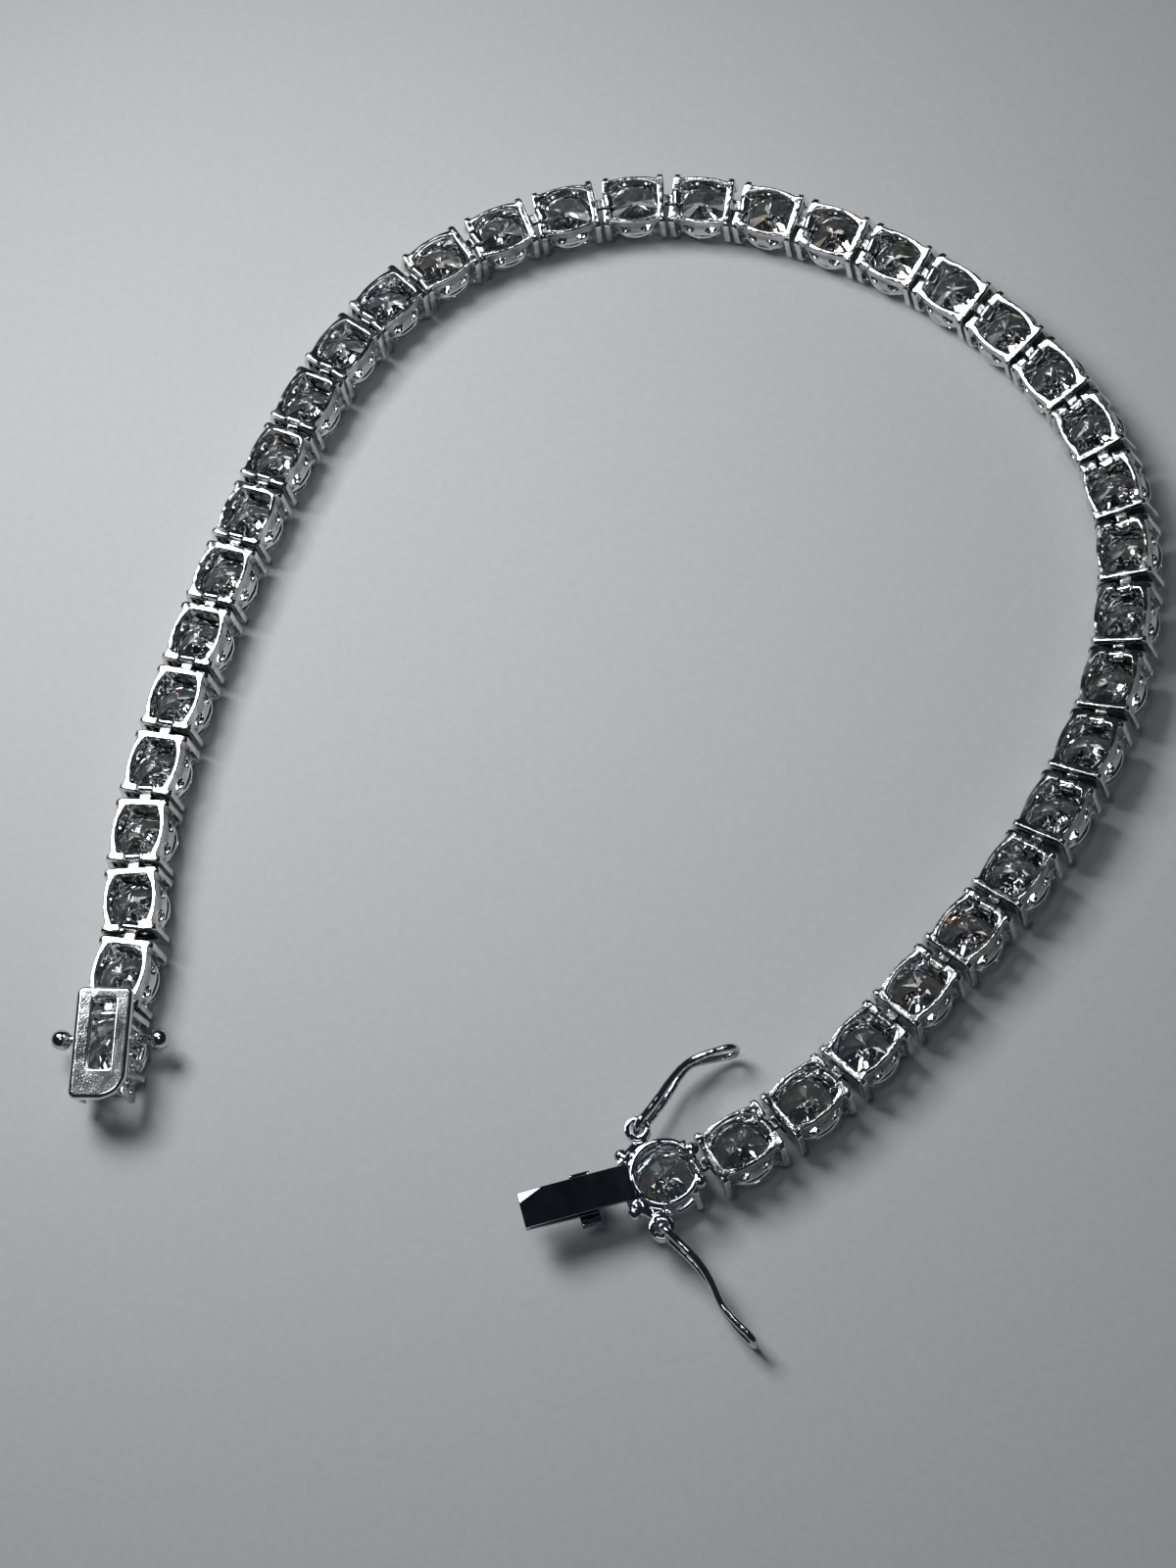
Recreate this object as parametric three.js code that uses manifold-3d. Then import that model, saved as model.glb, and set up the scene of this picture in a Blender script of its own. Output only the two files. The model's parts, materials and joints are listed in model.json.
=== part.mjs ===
// Tennis bracelet of round stones, lying open with its stones face down. Millimetres, +Z up.
// A station is one stone in its setting. In a station's own frame x points along the chain
// from the clasp box to the tongue, y to the left, and z = 0 is the surface it lies on.
import * as THREE from 'three';
import { mergeVertices } from 'three/addons/utils/BufferGeometryUtils.js';
import Module from 'manifold-3d';

const wasm = await Module();
wasm.setup();

// Stone, a round brilliant lying table down
const stoneDiameter = 4.0;
const tableShare = 0.58;
const crownHeight = 0.6;
const girdleHeight = 0.1;
const pavilionHeight = 1.68;
const stoneSides = 8;

// Setting
const settingHeight = 3.05;
const tableLift = 0.08;
const culetClearance = 0.08;
const seatHeight = 0.6;
const seatWall = 0.35;
const prongWidth = 0.4;
const prongFootWidth = 0.38;
const prongAngle = 45;
const prongTopDrop = 0.11;
const strutWidth = 0.42;
const strutThickness = 0.2;

// Back rim of a link
const linkEndMargin = 0.05;
const rimHeight = 0.55;
const rimWall = 0.32;
const rimBulge = 3.3;
const rimBulgeSide = 0.94;
const rimWaist = 2.74;
const rimOpeningSide = 1.66;
const earWidth = 3.2;
const earLength = 0.5;
const barThickness = 0.42;

// Hook of one link round the keeper bar of the next
const links = 36;
const linkGap = 0.6;
const hookWidth = 0.6;
const hookThickness = 0.3;
const hookPlay = 0.15;
const hookReachPlay = 0.2;
const slotPlay = 0.3;
const keeperThickness = 0.3;
const keeperInset = 0.15;
const keeperDrop = 0.1;

// Clasp box
const boxHeading = 77;
const plateLength = 6.9;
const plateWidth = 3.4;
const plateThickness = 0.5;
const plateOffset = -0.25;
const plateCorner = 0.45;
const plateRoundCorner = 0.9;
const slotLength = 4.4;
const slotWidth = 1.4;
const slotOffset = 0.3;
const boxWall = 0.36;
const boxInset = 0.05;
const nearWindows = 2;
const farWindows = 1;
const mouthHeight = 0.9;
const lipThickness = 0.25;
const lipLength = 0.7;
const mouthInset = 0.4;
const knobDiameter = 1.2;
const knobPinDiameter = 0.5;
const knobOffset = 0.6;
const knobHeight = 1.95;
const knobRib = 0.8;
const knobSides = 8;
const pinSides = 5;

// Tongue and its station
const tongueHeading = -178;
const collarWall = 0.38;
const collarHeight = 0.9;
const collarSides = 10;
const blockLength = 0.85;
const blockDrop = 0.22;
const tongueLength = 6.1;
const tongueWidth = 2.4;
const tongueRise = 0.15;
const leafThickness = 0.28;
const leafGap = 0.14;
const leafSpring = 0.3;
const leafCut = 1.2;
const buttonLength = 1.2;
const buttonWidth = 3.1;
const buttonHeight = 0.5;

// Safety latches, each a bent wire loop that turns in a tube
const latchLength = 8.2;
const latchLoopHeight = 1.2;
const latchWire = 0.45;
const latchDroop = 1.1;
const latchSpread = 3.0;
const latchAlong = 0.9;
const latchHeight = 2.3;
const latchBorePlay = 0.2;
const latchEndPlay = 0.2;
const tubeWall = 0.33;
const tubeSides = 10;
const wireSides = 6;
const wireSteps = 20;
const bracketLength = 0.8;
const leftLatchAngle = 114.5;
const rightLatchAngle = 137.8;

// How the chain lies: heading of the links and lean of their back rims to the inside, degrees
const route = [
  { share: 0.0, heading: 69.2, lean: 0 },
  { share: 0.029, heading: 80.4, lean: 0 },
  { share: 0.086, heading: 67.5, lean: 0 },
  { share: 0.171, heading: 61.7, lean: 0 },
  { share: 0.257, heading: 53.9, lean: 4 },
  { share: 0.314, heading: 35.3, lean: 10 },
  { share: 0.371, heading: 10.5, lean: 16 },
  { share: 0.429, heading: -10.9, lean: 19 },
  { share: 0.486, heading: -33.0, lean: 19 },
  { share: 0.543, heading: -45.8, lean: 19 },
  { share: 0.629, heading: -70.1, lean: 19 },
  { share: 0.714, heading: -103.5, lean: 19 },
  { share: 0.8, heading: -127.2, lean: 11 },
  { share: 0.886, heading: -143.0, lean: 3 },
  { share: 0.943, heading: -145.3, lean: 0 },
  { share: 1.0, heading: -161.5, lean: 0 },
];

// Outlines of the latches: shares of their length along and outwards, and of half the loop height
const leftLatchShape = [
  { along: 0.11, out: 0.01, half: 1.0 },
  { along: 0.26, out: 0.03, half: 1.0 },
  { along: 0.42, out: 0.036, half: 0.9 },
  { along: 0.55, out: 0.015, half: 0.6 },
  { along: 0.66, out: -0.01, half: 0.36 },
  { along: 0.77, out: -0.014, half: 0.5 },
  { along: 0.88, out: -0.005, half: 0.66 },
  { along: 0.98, out: 0.005, half: 0.5 },
];
const rightLatchShape = [
  { along: 0.11, out: 0.0, half: 1.0 },
  { along: 0.26, out: 0.005, half: 1.0 },
  { along: 0.42, out: 0.0, half: 0.9 },
  { along: 0.54, out: 0.0, half: 0.6 },
  { along: 0.64, out: 0.02, half: 0.36 },
  { along: 0.73, out: 0.08, half: 0.5 },
  { along: 0.82, out: 0.155, half: 0.66 },
  { along: 0.895, out: 0.225, half: 0.5 },
];

// Sizes that follow from the ones above
const stoneRadius = stoneDiameter / 2;
const girdleBottom = tableLift + crownHeight;
const girdleTop = girdleBottom + girdleHeight;
const culetHeight = girdleTop + pavilionHeight;
const seatTop = girdleTop + seatHeight;
const pavilionAtSeat = girdleTop + (pavilionHeight * seatWall) / stoneRadius;
const linkHalf = stoneRadius + linkEndMargin;
const pitch = 2 * linkHalf + linkGap;
const rimBottom = settingHeight - rimHeight;
const slotHalf = hookWidth / 2 + slotPlay;
const prongTop = settingHeight - prongTopDrop;
const prongFoot = new THREE.Vector2(stoneRadius, 0).rotateAround(
  new THREE.Vector2(),
  THREE.MathUtils.degToRad(prongAngle),
);
const keeperTop = rimBottom - keeperDrop;
const keeperBottom = keeperTop - keeperThickness;
const jointHeight = settingHeight - rimHeight / 2;
const footReach = prongFoot.y + prongFootWidth / 2;
const mouthFloor = culetHeight + culetClearance;
const plateBottom = mouthFloor + mouthHeight;
const plateTop = plateBottom + plateThickness;
const tongueTop = settingHeight + tongueRise;
const overlap = 0.1;
const faceOffset = 0.025;

// A closed geometry as a solid that can be joined and cut
function solidOf(geometry) {
  const bare = geometry.clone();
  bare.deleteAttribute('normal');
  bare.deleteAttribute('uv');
  const merged = mergeVertices(bare);
  const index = merged.index.array;
  const triangles = [];
  for (let i = 0; i < index.length; i += 3) {
    const [a, b, c] = index.slice(i, i + 3);
    if (a !== b && b !== c && c !== a) triangles.push(a, b, c);
  }
  const vertProperties = new Float32Array(merged.attributes.position.array);
  const triVerts = new Uint32Array(triangles);
  return new wasm.Manifold(new wasm.Mesh({ numProp: 3, vertProperties, triVerts }));
}

// A joined solid as a geometry
function geometryOf(solid) {
  const mesh = solid.getMesh();
  const geometry = new THREE.BufferGeometry();
  geometry.setAttribute('position', new THREE.BufferAttribute(mesh.vertProperties, 3));
  geometry.setIndex(new THREE.BufferAttribute(mesh.triVerts, 1));
  geometry.computeVertexNormals();
  return geometry;
}

function joined(solids) {
  return solids.reduce((whole, solid) => whole.add(solid));
}

// A straight block between two corners
function block([x0, y0, z0], [x1, y1, z1]) {
  const geometry = new THREE.BoxGeometry(x1 - x0, y1 - y0, z1 - z0);
  geometry.translate((x0 + x1) / 2, (y0 + y1) / 2, (z0 + z1) / 2);
  return solidOf(geometry);
}

// A tapered bar between a low and a high rectangle
function taperedBar(low, high) {
  const geometry = new THREE.BoxGeometry(1, 1, 1);
  const points = geometry.attributes.position;
  for (let i = 0; i < points.count; i += 1) {
    const end = points.getZ(i) < 0 ? low : high;
    points.setXYZ(i, end.x + points.getX(i) * end.width, end.y + points.getY(i) * end.depth, end.z);
  }
  return solidOf(geometry);
}

// A ring or disc turned about the station's upright axis; the profile runs anticlockwise.
// Its flat sides face the axes, and each many-sided section has the area of the true circle.
function turned(profile, sides) {
  const corner = (2 * Math.PI) / sides;
  const spread = Math.sqrt(corner / Math.sin(corner));
  const points = profile.map(([radius, height]) => new THREE.Vector2(radius * spread, height));
  const geometry = new THREE.LatheGeometry(points, sides, corner / 2);
  geometry.rotateX(Math.PI / 2);
  return solidOf(geometry);
}

// A flat outline in the x, y plane pushed up from one height to another
function plateOf(points, bottom, top) {
  const shape = new THREE.Shape(points.map(([x, y]) => new THREE.Vector2(x, y)));
  const geometry = new THREE.ExtrudeGeometry(shape, { depth: top - bottom, bevelEnabled: false });
  geometry.translate(0, 0, bottom);
  return solidOf(geometry);
}

// A flat outline in the x, z plane pushed along y from one side to another
function profileOf(points, right, left) {
  const shape = new THREE.Shape(points.map(([x, z]) => new THREE.Vector2(x, z)));
  const geometry = new THREE.ExtrudeGeometry(shape, { depth: left - right, bevelEnabled: false });
  geometry.rotateX(Math.PI / 2);
  geometry.translate(0, left, 0);
  return solidOf(geometry);
}

// Stone with the seat rail that holds its girdle and slopes in to its pavilion
function seatedStone() {
  return turned([
    [0, tableLift],
    [stoneRadius * tableShare, tableLift],
    [stoneRadius, girdleBottom],
    [stoneRadius, seatTop],
    [stoneRadius - seatWall, pavilionAtSeat],
    [0, culetHeight],
  ], stoneSides);
}

// Four corner prongs from the height of the rim down to the lying surface
function prongs(topX, topY, top) {
  const solids = [];
  for (const sideX of [-1, 1]) {
    for (const sideY of [-1, 1]) {
      const foot = { x: sideX * prongFoot.x, y: sideY * prongFoot.y, z: 0 };
      const head = { x: sideX * topX, y: sideY * topY, z: top };
      solids.push(taperedBar(
        { ...foot, width: prongFootWidth, depth: prongFootWidth },
        { ...head, width: prongWidth, depth: prongWidth },
      ));
    }
  }
  return solids;
}

// Two struts from the seat rail up to the side walls, which split each side into two windows
function sideStruts(topY, top) {
  return [-1, 1].map((side) => taperedBar(
    {
      x: 0,
      y: side * (stoneRadius - strutThickness),
      z: pavilionAtSeat - overlap,
      width: strutWidth,
      depth: strutThickness,
    },
    { x: 0, y: side * topY, z: top, width: strutWidth, depth: strutThickness },
  ));
}

// Hook that reaches over the next station's keeper bar and turns down and back under it
function hook() {
  const root = linkHalf - barThickness / 2;
  const keeperBack = pitch - linkHalf + keeperInset;
  const inner = keeperBack + keeperThickness + hookReachPlay;
  const outer = inner + hookThickness;
  const under = keeperTop + hookPlay;
  const top = under + hookThickness;
  const armTop = keeperBottom - hookPlay;
  const armBottom = armTop - hookThickness;
  return profileOf([
    [root, under],
    [inner, under],
    [inner, armTop],
    [keeperBack + keeperThickness / 2, armTop],
    [inner, armBottom],
    [outer, armTop],
    [outer, top],
    [root, top],
  ], -hookWidth / 2, hookWidth / 2);
}

// Keeper bar across the split end, low enough for the hook to pass over it
function keeper(half) {
  const back = -linkHalf + keeperInset;
  return block([back, -half, keeperBottom], [back + keeperThickness, half, keeperTop]);
}

// Back rim of a link: a solid bar at the front, two ears with a gap at the back, bulged sides
function linkRim() {
  const ear = earWidth / 2;
  const waistX = linkHalf - earLength - rimWall / 2;
  const bulgeX = rimBulgeSide / 2;
  const innerX = rimOpeningSide / 2;
  const innerY = rimBulge / 2 - rimWall;
  const leftHalf = [
    [-linkHalf, slotHalf],
    [-linkHalf, ear],
    [-linkHalf + earLength, ear],
    [-waistX, rimWaist / 2],
    [-bulgeX, rimBulge / 2],
    [bulgeX, rimBulge / 2],
    [waistX, rimWaist / 2],
    [linkHalf - earLength, ear],
    [linkHalf, ear],
  ];
  const innerLeft = [
    [linkHalf - barThickness, slotHalf],
    [innerX, innerY],
    [-innerX, innerY],
    [-linkHalf + barThickness, slotHalf],
  ];
  const mirror = ([x, y]) => [x, -y];
  const outline = [
    ...leftHalf,
    ...leftHalf.map(mirror).reverse(),
    ...innerLeft.map(mirror).reverse(),
    ...innerLeft,
  ];
  return plateOf(outline.reverse(), rimBottom, settingHeight);
}

function link() {
  const prongX = linkHalf - prongWidth / 2 - faceOffset;
  const prongY = (earWidth - prongWidth) / 2 - faceOffset;
  return joined([
    seatedStone(),
    linkRim(),
    ...prongs(prongX, prongY, prongTop),
    ...sideStruts((rimBulge - rimWall) / 2, rimBottom + overlap),
    keeper(prongY),
    hook(),
  ]);
}

// Slotted back plate of the clasp box, with cut corners and one round corner by the mouth
function backPlate() {
  const back = plateOffset - plateLength / 2;
  const front = plateOffset + plateLength / 2;
  const side = plateWidth / 2;
  const cut = plateRoundCorner * (1 - Math.SQRT1_2);
  const outline = [
    [front - plateCorner, side],
    [back + plateCorner, side],
    [back, side - plateCorner],
    [back, -side + plateRoundCorner],
    [back + cut, -side + cut],
    [back + plateRoundCorner, -side],
    [front - plateCorner, -side],
    [front, -side + plateCorner],
    [front, side - plateCorner],
  ];
  const slot = block(
    [slotOffset - slotLength / 2, -slotWidth / 2, plateBottom - overlap],
    [slotOffset + slotLength / 2, slotWidth / 2, plateTop + overlap],
  );
  return plateOf(outline, plateBottom, plateTop).subtract(slot);
}

// Side wall of the clasp box, with windows between its ribs and a broad rib behind the knob
function boxSide(side) {
  const back = plateOffset - plateLength / 2 + mouthInset;
  const front = linkHalf;
  const bottom = seatTop - overlap;
  const outer = side * (plateWidth / 2 - boxInset);
  const inner = outer - side * boxWall;
  const [right, left] = [Math.min(inner, outer), Math.max(inner, outer)];
  const runs = [
    { start: back + boxWall, end: knobOffset - knobRib / 2, windows: nearWindows },
    { start: knobOffset + knobRib / 2, end: front - boxWall, windows: farWindows },
  ];
  let wall = block([back, right, bottom], [front, left, plateBottom + overlap]);
  for (const { start, end, windows } of runs) {
    const bay = (end - start + boxWall) / windows;
    for (let i = 0; i < windows; i += 1) {
      wall = wall.subtract(block(
        [start + i * bay, right - overlap, seatTop + boxWall],
        [start + (i + 1) * bay - boxWall, left + overlap, plateBottom - boxWall],
      ));
    }
  }
  return wall;
}

// Ball knob on its pin, which the latch loop closes over
function knob(side) {
  const wall = plateWidth / 2 - boxWall / 2;
  const reach = latchSpread - wall;
  const pin = new THREE.CylinderGeometry(knobPinDiameter / 2, knobPinDiameter / 2, reach, pinSides);
  pin.translate(knobOffset, side * (wall + reach / 2), knobHeight);
  const ball = new THREE.SphereGeometry(knobDiameter / 2, knobSides, knobSides / 2);
  ball.translate(knobOffset, side * latchSpread, knobHeight);
  return [solidOf(pin), solidOf(ball)];
}

function claspBox() {
  const inside = plateWidth / 2 - boxWall / 2;
  const mouth = plateOffset - plateLength / 2 + mouthInset;
  const prongX = linkHalf - prongWidth / 2 - faceOffset;
  const prongY = plateWidth / 2 - overlap - prongWidth / 2;
  return joined([
    seatedStone(),
    backPlate(),
    boxSide(-1),
    boxSide(1),
    block(
      [mouth, -inside, mouthFloor - lipThickness],
      [mouth + lipLength, inside, mouthFloor],
    ),
    block(
      [linkHalf - barThickness, -inside, rimBottom],
      [linkHalf, inside, plateBottom + overlap],
    ),
    ...prongs(prongX, prongY, prongTop),
    hook(),
    ...knob(-1),
    ...knob(1),
  ]);
}

// Folded tongue: an upper leaf, a fold at the tip and a springy lower leaf with a thumb button
function tongue() {
  const root = linkHalf;
  const tip = linkHalf + blockLength - overlap + tongueLength;
  const upperBottom = tongueTop - leafThickness;
  const lowerTop = upperBottom - leafGap;
  const lowerBottom = lowerTop - leafThickness;
  const free = root + blockLength + leafCut;
  const fold = leafThickness / 2;
  const strip = profileOf([
    [root, upperBottom],
    [tip - leafThickness, upperBottom],
    [tip - leafThickness, lowerTop],
    [free, lowerTop - leafSpring],
    [free, lowerBottom - leafSpring],
    [tip - fold, lowerBottom],
    [tip, lowerBottom + fold],
    [tip, tongueTop - fold],
    [tip - fold, tongueTop],
    [root, tongueTop],
  ], -tongueWidth / 2, tongueWidth / 2);
  const buttonTop = lowerTop - leafSpring - faceOffset;
  const button = block(
    [free, -buttonWidth / 2, buttonTop - buttonHeight],
    [free + buttonLength, buttonWidth / 2, buttonTop - overlap],
  );
  return [strip, button];
}

// Tube and bracket that carry one safety latch
function latchTube(side) {
  const bore = latchWire / 2 + latchBorePlay;
  const outer = bore + tubeWall;
  const half = latchLoopHeight / 2 - latchEndPlay;
  const tube = turned([
    [bore, latchHeight - half],
    [outer, latchHeight - half],
    [outer, latchHeight + half],
    [bore, latchHeight + half],
    [bore, latchHeight - half],
  ], tubeSides).translate([latchAlong, side * latchSpread, 0]);
  const near = stoneRadius - collarWall - overlap;
  const far = latchSpread - bore - tubeWall / 2;
  const bracket = block(
    [latchAlong - bracketLength / 2, Math.min(side * near, side * far), latchHeight - half + overlap],
    [latchAlong + bracketLength / 2, Math.max(side * near, side * far), latchHeight + half - overlap],
  );
  return [tube, bracket];
}

function tongueStation() {
  const inner = stoneRadius - collarWall;
  const bottom = settingHeight - collarHeight;
  const collar = turned([
    [inner, bottom],
    [stoneRadius, bottom],
    [stoneRadius, settingHeight],
    [inner, settingHeight],
    [inner, bottom],
  ], collarSides).subtract(block(
    [-stoneRadius - overlap, -slotHalf, bottom - overlap],
    [0, slotHalf, settingHeight + overlap],
  ));
  const headX = stoneRadius * Math.cos(THREE.MathUtils.degToRad(prongAngle)) - overlap;
  const headY = stoneRadius * Math.sin(THREE.MathUtils.degToRad(prongAngle)) - overlap;
  const earOuter = headY + prongWidth / 2;
  const ears = [-1, 1].map((side) => block(
    [-linkHalf, Math.min(side * slotHalf, side * earOuter), keeperBottom],
    [-linkHalf + barThickness, Math.max(side * slotHalf, side * earOuter), settingHeight],
  ));
  const frontBlock = block(
    [inner, -tongueWidth / 2 - collarWall, bottom - blockDrop],
    [linkHalf + blockLength - overlap, tongueWidth / 2 + collarWall, tongueTop - leafThickness / 2],
  );
  return joined([
    seatedStone(),
    collar,
    ...prongs(headX, headY, prongTop),
    ...sideStruts(stoneRadius - collarWall / 2, bottom + overlap),
    ...ears,
    keeper(slotHalf + overlap),
    frontBlock,
    ...tongue(),
    ...latchTube(-1),
    ...latchTube(1),
  ]);
}

// Figure-eight loop of wire: its root stands in the tube and its two strands meet at a waist
function latch(shape, side) {
  const half = (latchLoopHeight + latchWire) / 2;
  const at = ({ along, out, half: share }, level) => new THREE.Vector3(
    along * latchLength,
    side * out * latchLength,
    level * share * half - along * latchDroop,
  );
  const upper = shape.map((row) => at(row, 1));
  const lower = shape.map((row) => at(row, -1)).reverse();
  const rootTop = new THREE.Vector3(0, 0, half - latchWire);
  const rootBottom = new THREE.Vector3(0, 0, latchWire - half);
  const bendTop = new THREE.Vector3(latchWire, 0, half);
  const bendBottom = new THREE.Vector3(latchWire, 0, -half);
  const points = [rootBottom, rootTop, bendTop, ...upper, ...lower, bendBottom];
  const curve = new THREE.CatmullRomCurve3(points, true, 'centripetal');
  return new THREE.TubeGeometry(curve, wireSteps, latchWire / 2, wireSides, true);
}

function metal(color, roughness) {
  return new THREE.MeshStandardMaterial({ color, roughness, metalness: 1 });
}

// A mesh standing at a place in the chain's plan, turned to its heading and leaned about its joints
function placed(name, geometry, material, place) {
  const mesh = new THREE.Mesh(geometry, material);
  mesh.name = name;
  mesh.rotation.x = THREE.MathUtils.degToRad(place.lean);
  const carrier = new THREE.Group();
  carrier.position.set(place.x, place.y, place.z);
  carrier.rotation.z = THREE.MathUtils.degToRad(place.heading);
  carrier.add(mesh);
  return carrier;
}

// Heading and lean of one link, read between the rows of the route
function routeAt(share) {
  const last = route.length - 1;
  const next = Math.min(last, Math.max(1, route.findIndex((row) => row.share >= share - 1e-9)));
  const [a, b] = [route[next - 1], route[next]];
  const mix = (share - a.share) / (b.share - a.share);
  return {
    heading: THREE.MathUtils.lerp(a.heading, b.heading, mix),
    lean: THREE.MathUtils.lerp(a.lean, b.lean, mix),
  };
}

// Places of all stations; every link rests on the prong tips of the side that it leans to
function chainPlaces() {
  const places = [];
  const joint = new THREE.Vector2(0, 0);
  for (let i = 0; i < links; i += 1) {
    const { heading, lean } = routeAt(i / (links - 1));
    const along = THREE.MathUtils.degToRad(heading);
    const tilt = THREE.MathUtils.degToRad(lean);
    const step = new THREE.Vector2(Math.cos(along), Math.sin(along)).multiplyScalar(pitch);
    const z = footReach * Math.sin(tilt) + jointHeight * Math.cos(tilt);
    const { x, y } = joint.clone().addScaledVector(step, 0.5);
    places.push({ x, y, z, heading, lean });
    joint.add(step);
  }
  return { places, end: joint };
}

// Place of an end station whose middle lies half a pitch before or after a joint
function endPlace(joint, heading, direction) {
  const along = THREE.MathUtils.degToRad(heading);
  return {
    x: joint.x + (direction * pitch * Math.cos(along)) / 2,
    y: joint.y + (direction * pitch * Math.sin(along)) / 2,
    z: jointHeight,
    heading,
    lean: 0,
  };
}

function hungFromJoint(solid) {
  return geometryOf(solid).translate(0, 0, -jointHeight);
}

const bracelet = new THREE.Group();
const { places, end } = chainPlaces();

const boxPlace = endPlace(new THREE.Vector2(0, 0), boxHeading, -1);
bracelet.add(placed('clasp_box', hungFromJoint(claspBox()), metal(0xb9bbbe, 0.3), boxPlace));

const linkGeometry = hungFromJoint(link());
places.forEach((place, i) => {
  const name = `link_${String(i + 1).padStart(2, '0')}`;
  bracelet.add(placed(name, linkGeometry.clone(), metal(0xc6c8cb, 0.16), place));
});

const tonguePlace = endPlace(end, tongueHeading, 1);
const station = placed(
  'tongue_station',
  hungFromJoint(tongueStation()),
  metal(0xaeb1b6, 0.14),
  tonguePlace,
);
bracelet.add(station);

// Latches hang in the station's frame, each turned from closed, along the tongue, to where it lies
const latches = [
  { name: 'safety_latch_left', shape: leftLatchShape, side: 1, angle: leftLatchAngle },
  { name: 'safety_latch_right', shape: rightLatchShape, side: -1, angle: rightLatchAngle },
];
for (const { name, shape, side, angle } of latches) {
  const mesh = new THREE.Mesh(latch(shape, side), metal(0xbcbfc3, 0.15));
  mesh.name = name;
  mesh.position.set(latchAlong, side * latchSpread, latchHeight - jointHeight);
  mesh.rotation.z = THREE.MathUtils.degToRad(side * angle);
  station.add(mesh);
}

// The origin lies under the middle of the whole bracelet, on the surface
bracelet.updateMatrixWorld(true);
const extent = new THREE.Box3().setFromObject(bracelet, true);
const middle = extent.getCenter(new THREE.Vector3());
bracelet.position.set(-middle.x, -middle.y, -extent.min.z);

export default bracelet;
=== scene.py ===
"""Tennis bracelet of round stones, lying open and face down on pale paper.

The solids of the frame give the place of every station. Each station gets a cut stone and a cast
setting, and the clasp box, the tongue station and the safety latches get their own pieces. Shapes
are modelled in millimetres round the middle of a station and then set in place in metres.
"""

import json
import logging
import math
from dataclasses import dataclass, field
from enum import Enum
from itertools import product
from typing import Callable, Iterable

import bmesh
import bpy
import numpy as np
from mathutils import Matrix, Vector


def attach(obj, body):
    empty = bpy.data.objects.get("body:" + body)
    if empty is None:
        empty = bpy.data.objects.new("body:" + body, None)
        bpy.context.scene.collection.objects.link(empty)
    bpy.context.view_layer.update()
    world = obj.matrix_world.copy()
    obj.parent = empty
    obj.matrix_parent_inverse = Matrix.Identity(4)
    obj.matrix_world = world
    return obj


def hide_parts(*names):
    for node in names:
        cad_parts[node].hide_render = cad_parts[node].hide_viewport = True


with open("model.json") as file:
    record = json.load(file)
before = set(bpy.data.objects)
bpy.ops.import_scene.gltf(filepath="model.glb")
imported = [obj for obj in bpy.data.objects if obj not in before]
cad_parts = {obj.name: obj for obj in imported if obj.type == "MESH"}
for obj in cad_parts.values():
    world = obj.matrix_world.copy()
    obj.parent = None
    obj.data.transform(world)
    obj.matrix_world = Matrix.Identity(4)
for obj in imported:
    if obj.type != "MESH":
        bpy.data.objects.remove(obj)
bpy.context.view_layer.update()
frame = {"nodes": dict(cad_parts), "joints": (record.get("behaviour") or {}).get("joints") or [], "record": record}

log = logging.getLogger("bracelet")
MM = 0.001
CHAIN = "chain"
# Name of the mesh mark that says where shade is painted into the metal.
PAINTED_SHADE = "paint_shade"
SIDES = (-1, 1)
RAIL_HEIGHT = 1.12
ROUND_SIDES = 72
RING_SIDES = 40
HOLE_SIDES = 32
NEAR = 1e-3
UPRIGHT = 0.9
UP = Vector((0.0, 0.0, 1.0))
Point = tuple[float, float, float]
Span = tuple[float, float]
Color = tuple[float, float, float]


class LampShape(Enum):
    """Outline of a soft box."""

    SQUARE = "RECTANGLE"
    ROUND = "ELLIPSE"


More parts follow.
